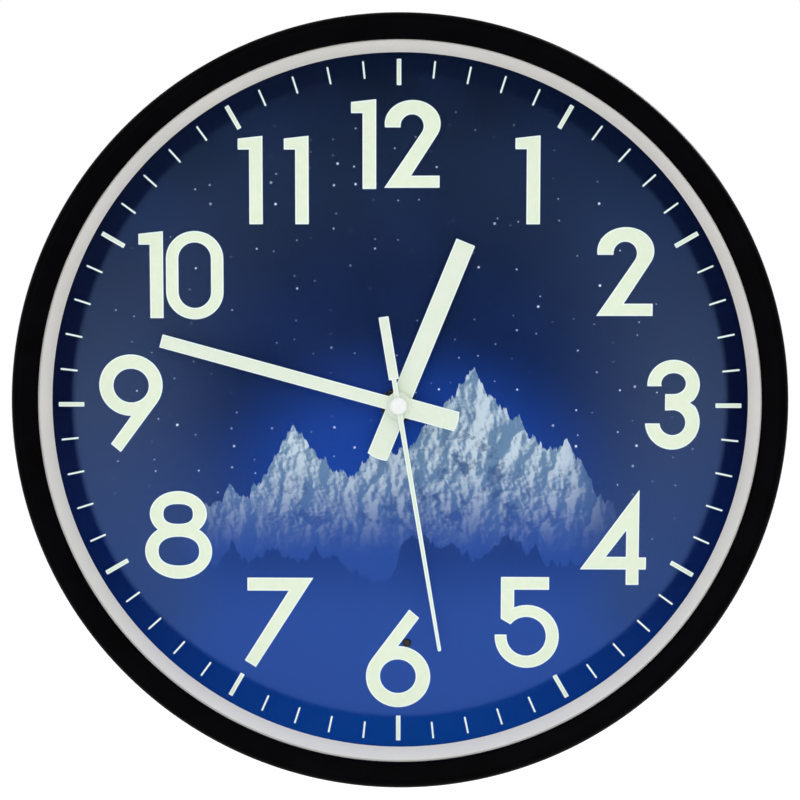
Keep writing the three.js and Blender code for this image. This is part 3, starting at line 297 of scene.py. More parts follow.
class Look:
    """Nodes round the shader of a material or a world. Lengths are in millimetres."""

    def __init__(self, owner, sockets, shader="Principled BSDF"):
        owner.use_nodes = True
        self.owner = owner
        self.tree = owner.node_tree
        self.shader = self.tree.nodes[shader]
        for socket, value in sockets.items():
            self.feed(socket, value)

    def feed(self, socket, value, node=None):
        inputs = (node or self.shader).inputs
        if isinstance(value, bpy.types.NodeSocket):
            self.tree.links.new(value, inputs[socket])
        else:
            inputs[socket].default_value = value

    def node(self, kind, inputs=None, **settings):
        made = self.tree.nodes.new("ShaderNode" + kind)
        for key, value in settings.items():
            setattr(made, key, value)
        for key, value in (inputs or {}).items():
            self.feed(key, value, made)
        return made

    def math(self, operation, *values):
        return self.node("Math", dict(enumerate(values)), operation=operation).outputs[0]

    def vector(self, operation, *values):
        return self.node("VectorMath", dict(enumerate(values)), operation=operation).outputs[0]

    def length(self, vector):
        return self.node("VectorMath", {0: vector}, operation="LENGTH").outputs["Value"]

    def millimetres(self, stretch=(1, 1, 1)):
        """The piece's own coordinates in millimetres: x right, y into the wall, z up."""
        place = self.node("TexCoord").outputs["Object"]
        return self.vector("MULTIPLY", place, tuple(s / MM for s in stretch))

    def remap(self, value, low, high, start=0.0, end=1.0, kind="SMOOTHSTEP"):
        ends = {"From Min": low, "From Max": high, "To Min": start, "To Max": end}
        return self.node("MapRange", {"Value": value, **ends}, interpolation_type=kind).outputs[0]

    def mix(self, share, first, second):
        return self.node("Mix", {0: share, 6: first, 7: second}, data_type="RGBA").outputs[2]

    def noise(self, size, detail=3.0, vector=None, roughness=0.5):
        """Noise of about the given grain size."""
        place = vector or self.millimetres()
        inputs = {"Vector": place, "Scale": 1 / size, "Detail": detail, "Roughness": roughness}
        return self.node("TexNoise", inputs).outputs[0]

    def gradient(self, share, stops):
        """Colours along a share from 0 to 1, as (place, colour) pairs."""
        node = self.node("ValToRGB", {0: share})
        elements = node.color_ramp.elements
        for place, _ in stops[1:-1]:
            elements.new(place)
        for element, (place, color) in zip(elements, stops):
            element.position = place
            element.color = linear(*color)
        return node.outputs[0]

    def bump(self, height, depth):
        node = self.node("Bump", {"Height": height, "Distance": depth * MM})
        self.feed("Normal", node.outputs[0])

    def seen(self):
        """1 for rays from the camera, by reflection or through glass, 0 for light that falls on things."""
        path = self.node("LightPath").outputs
        reflected = self.math("MAXIMUM", path["Is Camera Ray"], path["Is Glossy Ray"])
        return self.math("MAXIMUM", reflected, path["Is Transmission Ray"])


# Values of a noise where its clouds of colour, and the gloss of its grain, begin and end
CLOUDY = (0.3, 0.7)
GRAINY = (0.25, 0.75)
GRAIN_DETAIL = 2


def surface(name, first, second, size, rough, grain, depth, sockets, stretch=(1, 1, 1)):
    """A moulded, painted or metal surface: two close colours, uneven gloss and a fine grain."""
    look = Look(bpy.data.materials.new(name), sockets)
    place = look.millimetres(stretch)
    cloud = look.remap(look.noise(size, vector=place), *CLOUDY)
    fine = look.noise(grain, detail=GRAIN_DETAIL, vector=place)
    look.feed("Base Color", look.mix(cloud, linear(*first), linear(*second)))
    look.feed("Roughness", look.remap(fine, *GRAINY, *rough))
    look.bump(fine, depth)
    return look.owner


# Two colours, the size of their clouds, least and greatest roughness, size and depth of the grain,
# the shader's own settings and, where the grain is drawn out, its stretch
SURFACES = {
    "black_gloss": ((1, 1, 2), (3, 3, 5), 14, (0.3, 0.4), 0.8, 0.004, sheen(0.02)),
    "black_wall": ((12, 12, 14), (16, 16, 18), 10, (0.34, 0.46), 0.5, 0.008, sheen(0.12)),
    "black_grain": ((49, 49, 52), (52, 52, 55), 6, (0.42, 0.6), 0.35, 0.03, sheen(0.14)),
    "black_satin": ((34, 34, 37), (37, 37, 40), 8, (0.28, 0.42), 0.6, 0.012, sheen(0.18)),
    "diffuser_grey": ((247, 244, 238), (249, 246, 241), 25, (0.5, 0.62), 0.5, 0.008, sheen(0.1)),
    "paint_white": ((237, 252, 247), (241, 254, 250), 3, (0.5, 0.62), 0.25, 0.004, sheen(0.2)),
    "paint_mint": ((228, 242, 215), (235, 243, 222), 2.2, (0.55, 0.7), 0.25, 0.006, sheen(0.2)),
    "hand_mint": ((224, 236, 216), (230, 237, 222), 3, (0.5, 0.65), 0.25, 0.006, sheen(0.2)),
    "cap_white": ((237, 240, 238), (242, 244, 242), 2, (0.28, 0.36), 0.3, 0.003, sheen(0.35)),
    "sensor_olive": ((34, 31, 19), (46, 42, 27), 0.6, (0.08, 0.16), 0.3, 0.003, sheen(0.2)),
    "lens_clear": ((251, 252, 253), (253, 254, 255), 40, (0.0, 0.02), 20, 0.001,
                   {"Transmission Weight": 1.0, "IOR": 1.05}),
    "dial_card": ((206, 206, 202), (212, 212, 208), 5, (0.6, 0.75), 0.4, 0.01, {}),
    "strip_white": ((232, 232, 226), (240, 240, 235), 4, (0.45, 0.6), 0.4, 0.006, {}),
    "wheel_plastic": ((226, 222, 208), (236, 232, 219), 3, (0.42, 0.55), 0.3, 0.005,
                      {"Subsurface Weight": 0.1, "Subsurface Scale": 0.0006}),
    "pinion_plastic": ((84, 138, 192), (98, 150, 202), 1.5, (0.4, 0.52), 0.3, 0.005, {}),
    "lead_sleeve": ((168, 26, 26), (184, 36, 34), 3, (0.42, 0.55), 0.3, 0.008, {}),
    "rubber": ((24, 24, 24), (34, 34, 34), 1.5, (0.78, 0.92), 0.25, 0.02, {}),
    "screw_steel": ((120, 122, 126), (142, 144, 148), 1.5, (0.28, 0.42), 0.2, 0.004, metal(1.0)),
    "steel": ((176, 178, 182), (196, 198, 201), 2.5, (0.22, 0.38), 0.3, 0.004, metal(1.0), (1, 1, 6)),
    # Brass darkened into painted shade: the shadow that falls between the hands onto the nut and washer
    "brass": ((36, 33, 26), (46, 42, 34), 2, (0.3, 0.45), 0.3, 0.004, metal(1.0)),
    "iron": ((96, 98, 102), (120, 122, 126), 1.5, (0.4, 0.58), 0.2, 0.008, metal(1.0)),
    "magnet": ((50, 50, 54), (66, 66, 70), 0.7, (0.5, 0.66), 0.15, 0.012, metal(0.6)),
    "cell_sleeve": ((46, 50, 58), (54, 58, 66), 9, (0.26, 0.36), 0.5, 0.003, metal(0.4)),
    "cell_band": ((176, 180, 186), (188, 191, 196), 6, (0.28, 0.4), 0.4, 0.003, metal(0.5)),
}


def board_green():
    """Solder mask over a lattice of copper tracks."""
    look = Look(bpy.data.materials.new("board_green"), sheen(0.4))
    facing = look.node("Mapping", {"Vector": look.millimetres(), "Rotation": (pi / 2, 0, 0)})
    lattice = {"Vector": facing.outputs[0], "Scale": 0.5, "Mortar Size": 0.16, "Mortar Smooth": 0.3}
    greens = {"Color1": linear(24, 92, 48), "Color2": linear(30, 104, 56), "Mortar": linear(20, 74, 40)}
    tracks = look.node("TexBrick", {**lattice, **greens})
    cloud = look.remap(look.noise(4), *CLOUDY, 0.0, 0.5)
    look.feed("Base Color", look.mix(cloud, tracks.outputs["Color"], linear(26, 86, 46)))
    look.feed("Roughness", look.remap(look.noise(0.4), *GRAINY, 0.3, 0.45))
    look.bump(tracks.outputs["Fac"], 0.03)
    return look.owner


def copper_wire():
    """Turns of enamelled wire laid side by side along x."""
    look = Look(bpy.data.materials.new("copper_wire"), metal(1.0))
    place = look.millimetres()
    wave = look.node("TexWave", {"Vector": place, "Scale": 2.0, "Distortion": 0.3, "Detail": 1.0})
    turn = wave.outputs["Fac"]
    look.feed("Base Color", look.mix(turn, linear(120, 58, 28), linear(186, 100, 54)))
    look.feed("Roughness", look.remap(look.noise(0.5, vector=place), *GRAINY, 0.25, 0.42))
    look.bump(turn, 0.06)
    return look.owner


# Dial print: a night sky over snow-covered mountains that sink into blue mist.
# Colour stops run up the dial, from its lower edge at 0 to its upper edge at 1.
DIAL_RADIUS = reach("dial")
SKY = [(0.05, (44, 86, 176)), (0.18, (45, 83, 163)), (0.33, (28, 58, 128)),
       (0.5, (13, 36, 84)), (0.72, (14, 30, 64)), (0.95, (9, 19, 38))]
RIM = [(0.05, (44, 87, 178)), (0.2, (47, 74, 132)), (0.5, (53, 69, 103)),
       (0.8, (29, 45, 74)), (0.95, (10, 22, 44))]
RIM_BLEND = (50, 118)
CLOUD = linear(40, 66, 128)
CLOUD_SIZE = 45

# Dark band round the dial: its colours, the radii where it starts, and its greater width below
EDGE = [(0.03, (3, 58, 140)), (0.12, (3, 47, 124)), (0.25, (3, 27, 82)),
        (0.5, (2, 11, 47)), (0.97, (5, 19, 47))]
EDGE_BAND = (128.6, 131.6)
EDGE_WIDER = 4.5
EDGE_WIDENS = (-125, -60)

# Glow behind the far range: an oval, the shift from its middle to the dial's, and its reach
GLOW = linear(26, 74, 176)
GLOW_SHIFT = (-5, 25, 0)
GLOW_REACH = (88, 58)

# Stars: the cell that each one has, least and greatest radius, and the radii where they end
STAR = linear(226, 236, 255)
STAR_CELL = 8.0
STAR_SIZE = (0.2, 0.48)
STAR_LIMIT = (116, 122)

# Far range: its skyline as (x, y) on the dial, roughened by a jag, and the x where it ends on both sides
SKYLINE = [(-105, -70), (-84, -50), (-68, -33), (-60, -38), (-42, -8), (-31, -22), (-20, -30), (-6, -15),
           (3, -20), (15, -3), (30, 14), (41, -2), (48, -7), (60, -19), (67, -14), (82, -38), (105, -70)]
SKYLINE_HALF = 105
SKYLINE_LOW = -75
SKYLINE_HIGH = 20
FAR_JAG = (0.16, 5.0, 0.6)
JAG_HEIGHT = 5
RANGE_ENDS = (62, 96)

# Ground of the far range: snow that the slopes shade, rock below the snow caps, and mist at the foot
SNOW_LIT = linear(196, 213, 226)
SNOW_SHADE = linear(104, 136, 170)
SLOPE_SIZE = 26
SLOPE_STRETCH = (1.0, 0.62, 0.0)
SUN_SHIFT = (1.1, -0.6, 0.0)
ROCK = linear(62, 90, 132)
ROCK_SIZE = 7
SNOW_CAP = (-4, -30)
MIST = linear(44, 78, 156)
MIST_RISE = (-16, -62)

# Near ridge: its jag, the levels of its crest, and where it fades out
NEAR_RIDGE = linear(24, 52, 116)
NEAR_JAG = (0.035, 6.0, 0.55)
NEAR_CREST = (-78, -44)
NEAR_FADE = (-50, -88)


class DialPrint(Look):
    """The picture on the dial. Each layer lies over the colour that it is given."""

    def __init__(self):
        super().__init__(bpy.data.materials.new("dial_print"), sheen(0.02))
        place = self.node("SeparateXYZ", {0: self.millimetres()})
        self.across = place.outputs["X"]
        self.up = place.outputs["Z"]
        self.flat = self.node("CombineXYZ", {0: self.across, 1: self.up}).outputs[0]
        self.radius = self.length(self.flat)
        self.height = self.remap(self.up, -DIAL_RADIUS, DIAL_RADIUS, kind="LINEAR")
        jag = self.remap(self.jagged(*FAR_JAG), 0.2, 0.8, -JAG_HEIGHT, JAG_HEIGHT, "LINEAR")
        self.above = self.math("SUBTRACT", self.up, self.math("ADD", self.skyline(), jag))
        self.span = self.remap(self.math("ABSOLUTE", self.across), *RANGE_ENDS, 1, 0)

    def jagged(self, scale, detail, roughness):
        """Noise that runs across the dial and is the same all the way up."""
        inputs = {"W": self.across, "Scale": scale, "Detail": detail, "Roughness": roughness}
        return self.node("TexNoise", inputs, noise_dimensions="1D").outputs[0]

    def skyline(self):
        """Height of the far range above the dial's middle."""
        share = self.remap(self.across, -SKYLINE_HALF, SKYLINE_HALF, kind="LINEAR")
        node = self.node("FloatCurve", {"Value": share})
        points = node.mapping.curves[0].points
        width, height = 2 * SKYLINE_HALF, SKYLINE_HIGH - SKYLINE_LOW
        places = [((x + SKYLINE_HALF) / width, (y - SKYLINE_LOW) / height) for x, y in SKYLINE]
        for x, y in places[1:-1]:
            points.new(x, y)
        for point, (x, y) in zip(points, places):
            point.location = (x, y)
            point.handle_type = "VECTOR"
        node.mapping.update()
        return self.remap(node.outputs[0], 0, 1, SKYLINE_LOW, SKYLINE_HIGH, "LINEAR")

    def sky(self):
        """Night sky with faint clouds, greyer towards the rim."""
        rim = self.remap(self.radius, *RIM_BLEND)
        color = self.mix(rim, self.gradient(self.height, SKY), self.gradient(self.height, RIM))
        cloud = self.noise(CLOUD_SIZE, detail=4, vector=self.flat)
        return self.mix(self.remap(cloud, 0.35, 0.7, 0, 0.12), color, CLOUD)

    def glow(self, color):
        centred = self.vector("ADD", self.flat, GLOW_SHIFT)
        oval = self.vector("MULTIPLY", centred, (1 / GLOW_REACH[0], 1 / GLOW_REACH[1], 0))
        return self.mix(self.remap(self.length(oval), 0.35, 1, 0.62, 0), color, GLOW)

    def stars(self, color):
        """One star to a cell of a jittered lattice, over the sky alone."""
        inputs = {"Vector": self.flat, "Scale": 1 / STAR_CELL}
        lattice = self.node("TexVoronoi", inputs, voronoi_dimensions="2D")
        chance = self.node("SeparateColor", {0: lattice.outputs["Color"]})
        away = self.math("MULTIPLY", lattice.outputs["Distance"], STAR_CELL)
        size = self.remap(chance.outputs[1], 0.5, 1, *STAR_SIZE)
        dot = self.remap(self.math("SUBTRACT", size, away), -0.16, 0.1)
        bright = self.remap(chance.outputs[0], 0.4, 1.0)
        inside = self.remap(self.radius, *STAR_LIMIT, 1, 0)
        shown = self.math("MULTIPLY", self.remap(self.above, -1, 1), inside)
        star = self.math("MULTIPLY", self.math("MULTIPLY", dot, bright), shown)
        return self.mix(star, color, STAR)

    def ridged(self, shift):
        """Ridged noise, looked up a little to one side."""
        moved = self.vector("ADD", self.flat, shift)
        drawn_out = self.vector("MULTIPLY", moved, SLOPE_STRETCH)
        value = self.noise(SLOPE_SIZE, detail=7, vector=drawn_out, roughness=0.56)
        return self.math("ABSOLUTE", self.math("SUBTRACT", value, 0.5))

    def far_range(self, color):
        """Snow and rock. The difference of two looks at one ridged noise shades its slopes."""
        slope = self.math("SUBTRACT", self.ridged(SUN_SHIFT), self.ridged((0, 0, 0)))
        snow = self.mix(self.remap(slope, -0.02, 0.03), SNOW_SHADE, SNOW_LIT)
        bare = self.noise(ROCK_SIZE, detail=5, vector=self.flat, roughness=0.65)
        bare = self.remap(bare, 0.5, 0.62, 0, 0.85)
        ground = self.mix(self.math("MULTIPLY", bare, self.remap(self.above, *SNOW_CAP)), snow, ROCK)
        ends = self.math("SUBTRACT", 1.0, self.span)
        ground = self.mix(self.math("MAXIMUM", self.remap(self.up, *MIST_RISE), ends), ground, MIST)
        under = self.remap(self.above, 0.25, -0.25)
        return self.mix(self.math("MULTIPLY", under, self.span), color, ground)

    def near_ridge(self, color):
        """A lower ridge in front, dark along its crest."""
        crest = self.remap(self.jagged(*NEAR_JAG), 0.25, 0.75, *NEAR_CREST, "LINEAR")
        under = self.remap(self.math("SUBTRACT", crest, self.up), -0.3, 0.3)
        veil = self.math("MULTIPLY", self.remap(self.up, *NEAR_FADE, 0.75, 0), under)
        return self.mix(self.math("MULTIPLY", veil, self.span), color, NEAR_RIDGE)

    def edge(self, color):
        place = self.math("ADD", self.radius, self.remap(self.up, *EDGE_WIDENS, EDGE_WIDER, 0))
        return self.mix(self.remap(place, *EDGE_BAND), color, self.gradient(self.height, EDGE))


def dial_print():
    look = DialPrint()
    night = look.stars(look.glow(look.sky()))
    picture = look.near_ridge(look.far_range(night))
    look.feed("Base Color", look.edge(picture))
    fine = look.noise(0.35, detail=GRAIN_DETAIL, vector=look.flat)
    look.feed("Roughness", look.remap(fine, *GRAINY, 0.55, 0.68))
    look.bump(fine, 0.004)
    return look.owner


LOOKS = {name: surface(name, *values) for name, values in SURFACES.items()}
LOOKS.update(board_green=board_green(), copper_wire=copper_wire(), dial_print=dial_print())


# Frame, lens, ring and dial. Corners of a profile are its radius, its level and, where rounded, a radius.

FRAME_PROFILE = [
    (151.8, 0.0, 0.5), (150.74, 43.1, 3.0), (140.9, 39.95, 0.7), (140.9, 38.2), (143.0, 38.2),
    (143.0, 36.7), (144.4, 36.7), (144.4, 38.2), (148.57, 38.2, 0.5), (149.3, 0.0, 0.5)]
GLOSS_FROM = 38.5
SCREW_CIRCLE = 146.8
SCREW_COUNT = 6
BOSS_RADIUS = 2.45
BOSS_BORE = 1.25
BOSS_ROOT = 2.6
BOSS_LEVELS = (11.0, 25.0)


def make_frame():
    """Glossy front on a satin wall, with a boss at each screw."""
    profile = rounded(FRAME_PROFILE)
    following = profile[1:] + profile[:1]
    slots = [0 if (a[1] + b[1]) / 2 > GLOSS_FROM else 1 for a, b in zip(profile, following)]
    shell = Form().lathe(profile, ring=True, slots=slots)
    inner_side = arc(0, 0, BOSS_RADIUS, BOSS_RADIUS, 90, 270)
    post = [*inner_side, (BOSS_ROOT, -BOSS_RADIUS), (BOSS_ROOT, BOSS_RADIUS)]
    for turn in turns(SCREW_COUNT):
        place = Matrix.Rotation(turn, 4, "Z") @ Matrix.Translation((SCREW_CIRCLE, 0, 0))
        shell.prism(post, *BOSS_LEVELS, holes=[circle(BOSS_BORE)], place=place, slot=1)
    piece("frame_shell", shell, ["black_gloss", "black_wall"], "case", ["frame"])


LENS_CORNER = 0.25


def make_lens():
    rear, front = levels("lens")
    radius = reach("lens")
    profile = [(0, rear), (radius, rear, LENS_CORNER), (radius, front, LENS_CORNER), (0, front)]
    disc = Form().lathe(rounded(profile, closed=False))
    lens = piece("lens_disc", disc, ["lens_clear"], "case", ["lens"])
    lens.visible_shadow = False
    lens.visible_diffuse = False


RING_FOOT = (138.2, 139.8)
RING_NECK = 142.5
RING_LIP = 140.9
RING_FLANGE = 1.5
RING_CORNER = 0.3
NECK_CORNER = 0.05


def make_ring():
    """Cone that leads from the dial's edge to a flange behind the lens."""
    rear, front = levels("diffuser_ring")
    outer = reach("diffuser_ring")
    flange = front - RING_FLANGE
    foot_inner, foot_outer = RING_FOOT
    profile = [
        (foot_inner, rear, RING_CORNER), (foot_outer, rear, RING_CORNER), (RING_NECK, flange, NECK_CORNER),
        (outer, flange), (outer, front, RING_CORNER), (RING_LIP, front, RING_CORNER)]
    band = Form().lathe(rounded(profile), ring=True)
    piece("diffuser_band", band, ["diffuser_grey"], "case", ["diffuser_ring"])


DIAL_REAR, DIAL_FRONT = levels("dial")
BUSH_HOLE = 4.3
SENSOR_HOLE = 1.8
SENSOR_PLACE = middle("light_sensor")


def make_dial():
    """Plain card with a printed front."""
    disc = circle(DIAL_RADIUS, sides=LARGE_SIDES)
    holes = [circle(BUSH_HOLE, sides=MIDDLE_SIDES), circle(SENSOR_HOLE, SENSOR_PLACE)]
    sheet = Form().prism(disc, DIAL_REAR, DIAL_FRONT, holes, slot=1, front_slot=0)
    piece("dial_sheet", sheet, ["dial_print", "dial_card"], "case", ["dial"])


# Numerals and ticks: a white border with a mint filling printed on it

BORDER = 0.5
SUNK = 0.02
WHITE_LEVEL = DIAL_FRONT + 0.06
MINT_LEVEL = DIAL_FRONT + 0.1


def superellipse(centre_x, centre_y, radius_x, radius_y, power, sides=48):
    def stretch(value):
        return copysign(abs(value) ** (2 / power), value)

    return [(centre_x + radius_x * stretch(cos(t)), centre_y + radius_y * stretch(sin(t)))
            for t in turns(sides)]


SIX = [[(11.2, 48.25), (21.1, 39.95), *arc(0.3, -18.95, 31.8, 30.7, 90, -217.2)],
       arc(0.1, -18.55, 17.7, 16.85, 0, 355)]

# Outline and holes of each figure, in units that its height on the dial scales
FIGURES = {
    "0": [arc(0, 16.5, x, y, 0, 180) + arc(0, -16.5, x, y, 180, 360)
          for x, y in ((29, 27.75), (16.4, 16.3))],
    "1": [[(-12.85, 42.6), (12.85, 45.4), (12.85, -45.4), (-1.15, -45.4), (-1.15, 31.3), (-12.85, 31.3)]],
    "2": [arc(0.2, 20.4, 28.5, 23.9, 188.8, -30.7)
          + [(-1.25, -32), (27.75, -32), (27.75, -44.3), (-28.75, -44.3)]
          + arc(-0.35, 18.1, 11.7, 11.7, -35.3, 187)],
    "3": [arc(0.9, 20.15, 26.1, 24.8, 183.7, -40) + [(17.4, 2.2)]
          + arc(0.1, -17.15, 27.25, 27.8, 34, -176.9) + [(-12.45, -18.65)]
          + arc(0.3, -17.9, 12.75, 12.5, 183.4, 450) + [(-7.35, -5.75), (-7.35, 10.75)]
          + arc(0.85, 21.2, 12.2, 10.45, -90, 194.7)],
    "4": [[(25.15, 47.6), (25.15, -20), (32.35, -20), (32.35, -32.2), (25.15, -32.2), (25.15, -47.6),
           (12.45, -47.6), (12.45, -32.2), (-33.1, -32.2)],
          [(12.45, 6.8), (-7.45, -19.5), (12.45, -19.5)]],
    "5": [[(-25.8, 45.45), (21.7, 45.45), (21.7, 32.75), (-12.6, 32.75)]
          + arc(0, -13.95, 31.7, 31.5, 113.5, -183.3) + arc(-0.6, -13.8, 19.4, 19.4, 175.1, 502.6)
          + [(-25.8, 3.65)]],
    "6": SIX,
    "7": [[(-31.1, 44.8), (34.2, 44.8), (-23.2, -44.8), (-34.2, -37.9), (9.7, 31.8), (-31.1, 31.8)]],
    "8": [arc(0, 21.1, 28.4, 22.8, 223.5, -43.5) + arc(0, -16.3, 33.4, 27.6, 51.8, -231.8),
          superellipse(-0.15, 21, 14.65, 9.9, 2.5), superellipse(0.25, -16.15, 20.25, 14.45, 2.3)],
    "9": [[(-x, -y) for x, y in loop] for loop in SIX],
}

# Figure, middle of its box on the dial and its height
NUMERALS = [
    ("1", (-13.9, 102.8), 35.0), ("2", (5.3, 102.85), 34.2), ("1", (50.7, 88.8), 34.7),
    ("2", (89.4, 52.9), 34.9), ("3", (108.7, 0.3), 35.7), ("4", (85.8, -52.8), 38.3),
    ("5", (51.6, -87.4), 36.9), ("6", (-0.1, -102.3), 39.9), ("7", (-48.1, -87.9), 36.5),
    ("8", (-88.4, -52.5), 35.5), ("9", (-106.9, 0.4), 39.1), ("1", (-98.4, 51.6), 34.4),
    ("0", (-81.0, 51.4), 34.9), ("1", (-58.7, 88.8), 34.6), ("1", (-40.5, 88.8), 34.6)]

# Radius of a tick's middle, its length and its width
MINUTE_TICK = (132.3, 6.8, 0.75)
HOUR_TICK = (130.8, 10.2, 1.8)
TICK_CORNER = 0.15
MINUTES = 60
HOUR_STEP = 5


def placed_figure(figure, centre, height):
    """A figure's loops at their place and size on the dial."""
    xs, ys = zip(*FIGURES[figure][0])
    scale = height / (max(ys) - min(ys))
    middle_x, middle_y = (max(xs) + min(xs)) / 2, (max(ys) + min(ys)) / 2
    return [[(centre[0] + (x - middle_x) * scale, centre[1] + (y - middle_y) * scale) for x, y in loop]
            for loop in FIGURES[figure]]


def make_numerals():
    white, mint = Form(), Form()
    for figure, centre, height in NUMERALS:
        outline, *holes = placed_figure(figure, centre, height)
        white.prism(outline, DIAL_FRONT - SUNK, WHITE_LEVEL, holes)
        wider_holes = [inset(hole, -BORDER) for hole in holes]
        mint.prism(inset(outline, BORDER), WHITE_LEVEL - SUNK, MINT_LEVEL, wider_holes)
    piece("numeral_borders", white, ["paint_white"], "case")
    piece("numeral_fillings", mint, ["paint_mint"], "case")


def make_ticks():
    white, mint = Form(), Form()
    for minute, turn in enumerate(turns(MINUTES)):
        place = Matrix.Rotation(turn, 4, "Z")
        hour = minute % HOUR_STEP == 0
        radius, length, width = HOUR_TICK if hour else MINUTE_TICK
        bar = rectangle(length, width, TICK_CORNER, (radius, 0))
        white.prism(bar, DIAL_FRONT - SUNK, WHITE_LEVEL, place=place)
        if hour:
            inner = rectangle(length - 2 * BORDER, width - 2 * BORDER, TICK_CORNER / 2, (radius, 0))
            mint.prism(inner, WHITE_LEVEL - SUNK, MINT_LEVEL, place=place)
    piece("tick_marks", white, ["paint_white"], "case")
    piece("hour_mark_fillings", mint, ["paint_mint"], "case")


# Hands: white-edged blades with a mint filling, each on its own hub

BLADE_THICKNESS = 0.4
HAND_BORDER = 0.42
PAD_PROUD = 0.06
PAD_OVERLAP = 0.05
HAND_ANGLES = {"hour_hand": 22.3, "minute_hand": 285.2, "second_hand": 170.4}

# Length, width, tail and tail's width of a baton, then the radii of its hub and bore.
# A tail is bowed by its width over TAIL_BOW.
BATONS = {"hour_hand": ((69.3, 7.9, 22.7, 8.3), 5.0, 2.9), "minute_hand": ((97, 5.3, 24.4, 7.9), 5.3, 1.7)}
TAIL_BOW = 13
TAIL_STEPS = (-1, -0.6, -0.2, 0.2, 0.6, 1)

# Hub: a rim round a shallow dish
HUB_THICKNESS = 0.8
HUB_SUNK = 0.1
HUB_CORNER = 0.15
RIM_WIDTH = 0.5
RIM_FOOT = 0.7
RIM_CORNER = 0.1
DISH_DEPTH = 0.12

# Second hand: stem and tail have an end, away from the axis, and half a width
NEEDLE_LENGTH = 99
NEEDLE_HALF = 1.0
NEEDLE_TIP = 0.7
NEEDLE_STEM = (10.5, 0.9)
NEEDLE_TAIL = (35.4, 1.95)
NEEDLE_DISC = 3.1
NEEDLE_BORE = 0.75
CAP_CORNER = 0.15


def baton(length, width, tail, tail_width):
    """Blade that points up, with a wider tail whose end is bowed."""
    half, tail_half = width / 2, tail_width / 2
    sag = tail_width / TAIL_BOW
    bow = [(tail_half * s, sag * s * s - tail) for s in TAIL_STEPS]
    return [(-half, 0), (-tail_half, 0), *bow, (tail_half, 0), (half, 0), (half, length), (-half, length)]


def clockwise(name):
    return Matrix.Rotation(-radians(HAND_ANGLES[name]), 4, "Z")


def make_filling(name, blade, front, hub):
    """Mint filling on a blade, clear of the hub."""
    pad = Form().prism(inset(blade, HAND_BORDER), front - SUNK, front + PAD_PROUD, place=clockwise(name))
    piece(name + "_filling", pad.carve("DIFFERENCE", hub), ["hand_mint"], name)


def make_baton(name):
    shape, hub_radius, bore_radius = BATONS[name]
    blade = baton(*shape)
    rear = levels(name)[0]
    front = rear + BLADE_THICKNESS
    top = rear + HUB_THICKNESS
    bore = Form().cylinder(bore_radius, rear - PAST, top + PAST, SMALL_SIDES)
    plate = Form().prism(blade, rear, front, place=clockwise(name)).carve("DIFFERENCE", bore)
    piece(name + "_blade", plate, ["paint_white"], name, [name], edge=0.08)

    seat, dish = front - HUB_SUNK, top - DISH_DEPTH
    profile = [
        (bore_radius, seat), (hub_radius, seat), (hub_radius, top, HUB_CORNER),
        (hub_radius - RIM_WIDTH, top, RIM_CORNER), (hub_radius - RIM_FOOT, dish, RIM_CORNER),
        (bore_radius, dish)]
    hub = Form().lathe(rounded(profile), MIDDLE_SIDES, ring=True)
    piece(name + "_hub", hub, ["hand_mint"], name)

    clear = Form().cylinder(hub_radius - PAD_OVERLAP, front - PAST, top + PAST, MIDDLE_SIDES)
    make_filling(name, blade, front, clear)


def make_second_hand():
    """Round-tipped needle with a disc on the axis and a wide tail on a narrow stem."""
    name = "second_hand"
    (stem, stem_half), (tail, tail_half) = NEEDLE_STEM, NEEDLE_TAIL
    right = [(tail_half, -tail), (tail_half, -stem), (stem_half, -stem), (NEEDLE_HALF, 0)]
    left = [(-x, y) for x, y in reversed(right)]
    tip = arc(0, NEEDLE_LENGTH - NEEDLE_TIP, NEEDLE_TIP, NEEDLE_TIP, 0, 180, step=20)
    needle = right + tip + left
    rear, front = levels(name)
    disc = Form().cylinder(NEEDLE_DISC, rear, front, MIDDLE_SIDES)
    bore = Form().cylinder(NEEDLE_BORE, rear - PAST, front + PAST, SMALL_SIDES)
    plate = Form().prism(needle, rear, front, place=clockwise(name))
    plate = plate.carve("UNION", disc).carve("DIFFERENCE", bore)
    piece(name + "_blade", plate, ["paint_white"], name, [name], edge=0.06)
    make_filling(name, needle, front, Form().cylinder(NEEDLE_DISC, rear, front + PAST, MIDDLE_SIDES))


def make_cap():
    rear, front = levels("second_hand_cap")
    radius = reach("second_hand_cap")
    half = (rear + front) / 2
    dome = arc(0, half, radius, front - half, 0, 90, step=10)
    profile = [(0, rear), (radius - CAP_CORNER, rear), (radius, rear + CAP_CORNER), *dome[:-1], (0, front)]
    cap = Form().lathe(profile, MIDDLE_SIDES)
    piece("cap_dome", cap, ["cap_white"], "second_hand", ["second_hand_cap"])


# Light sensor, and the nut and washer that clamp the movement to the dial

SENSOR_RADIUS = 1.5
SENSOR_DEPTH = 5.2
COLLAR_RADIUS = 1.8
COLLAR_HEIGHT = 1
WIRE_RADIUS = 0.3
WIRE_OFFSET = 0.8


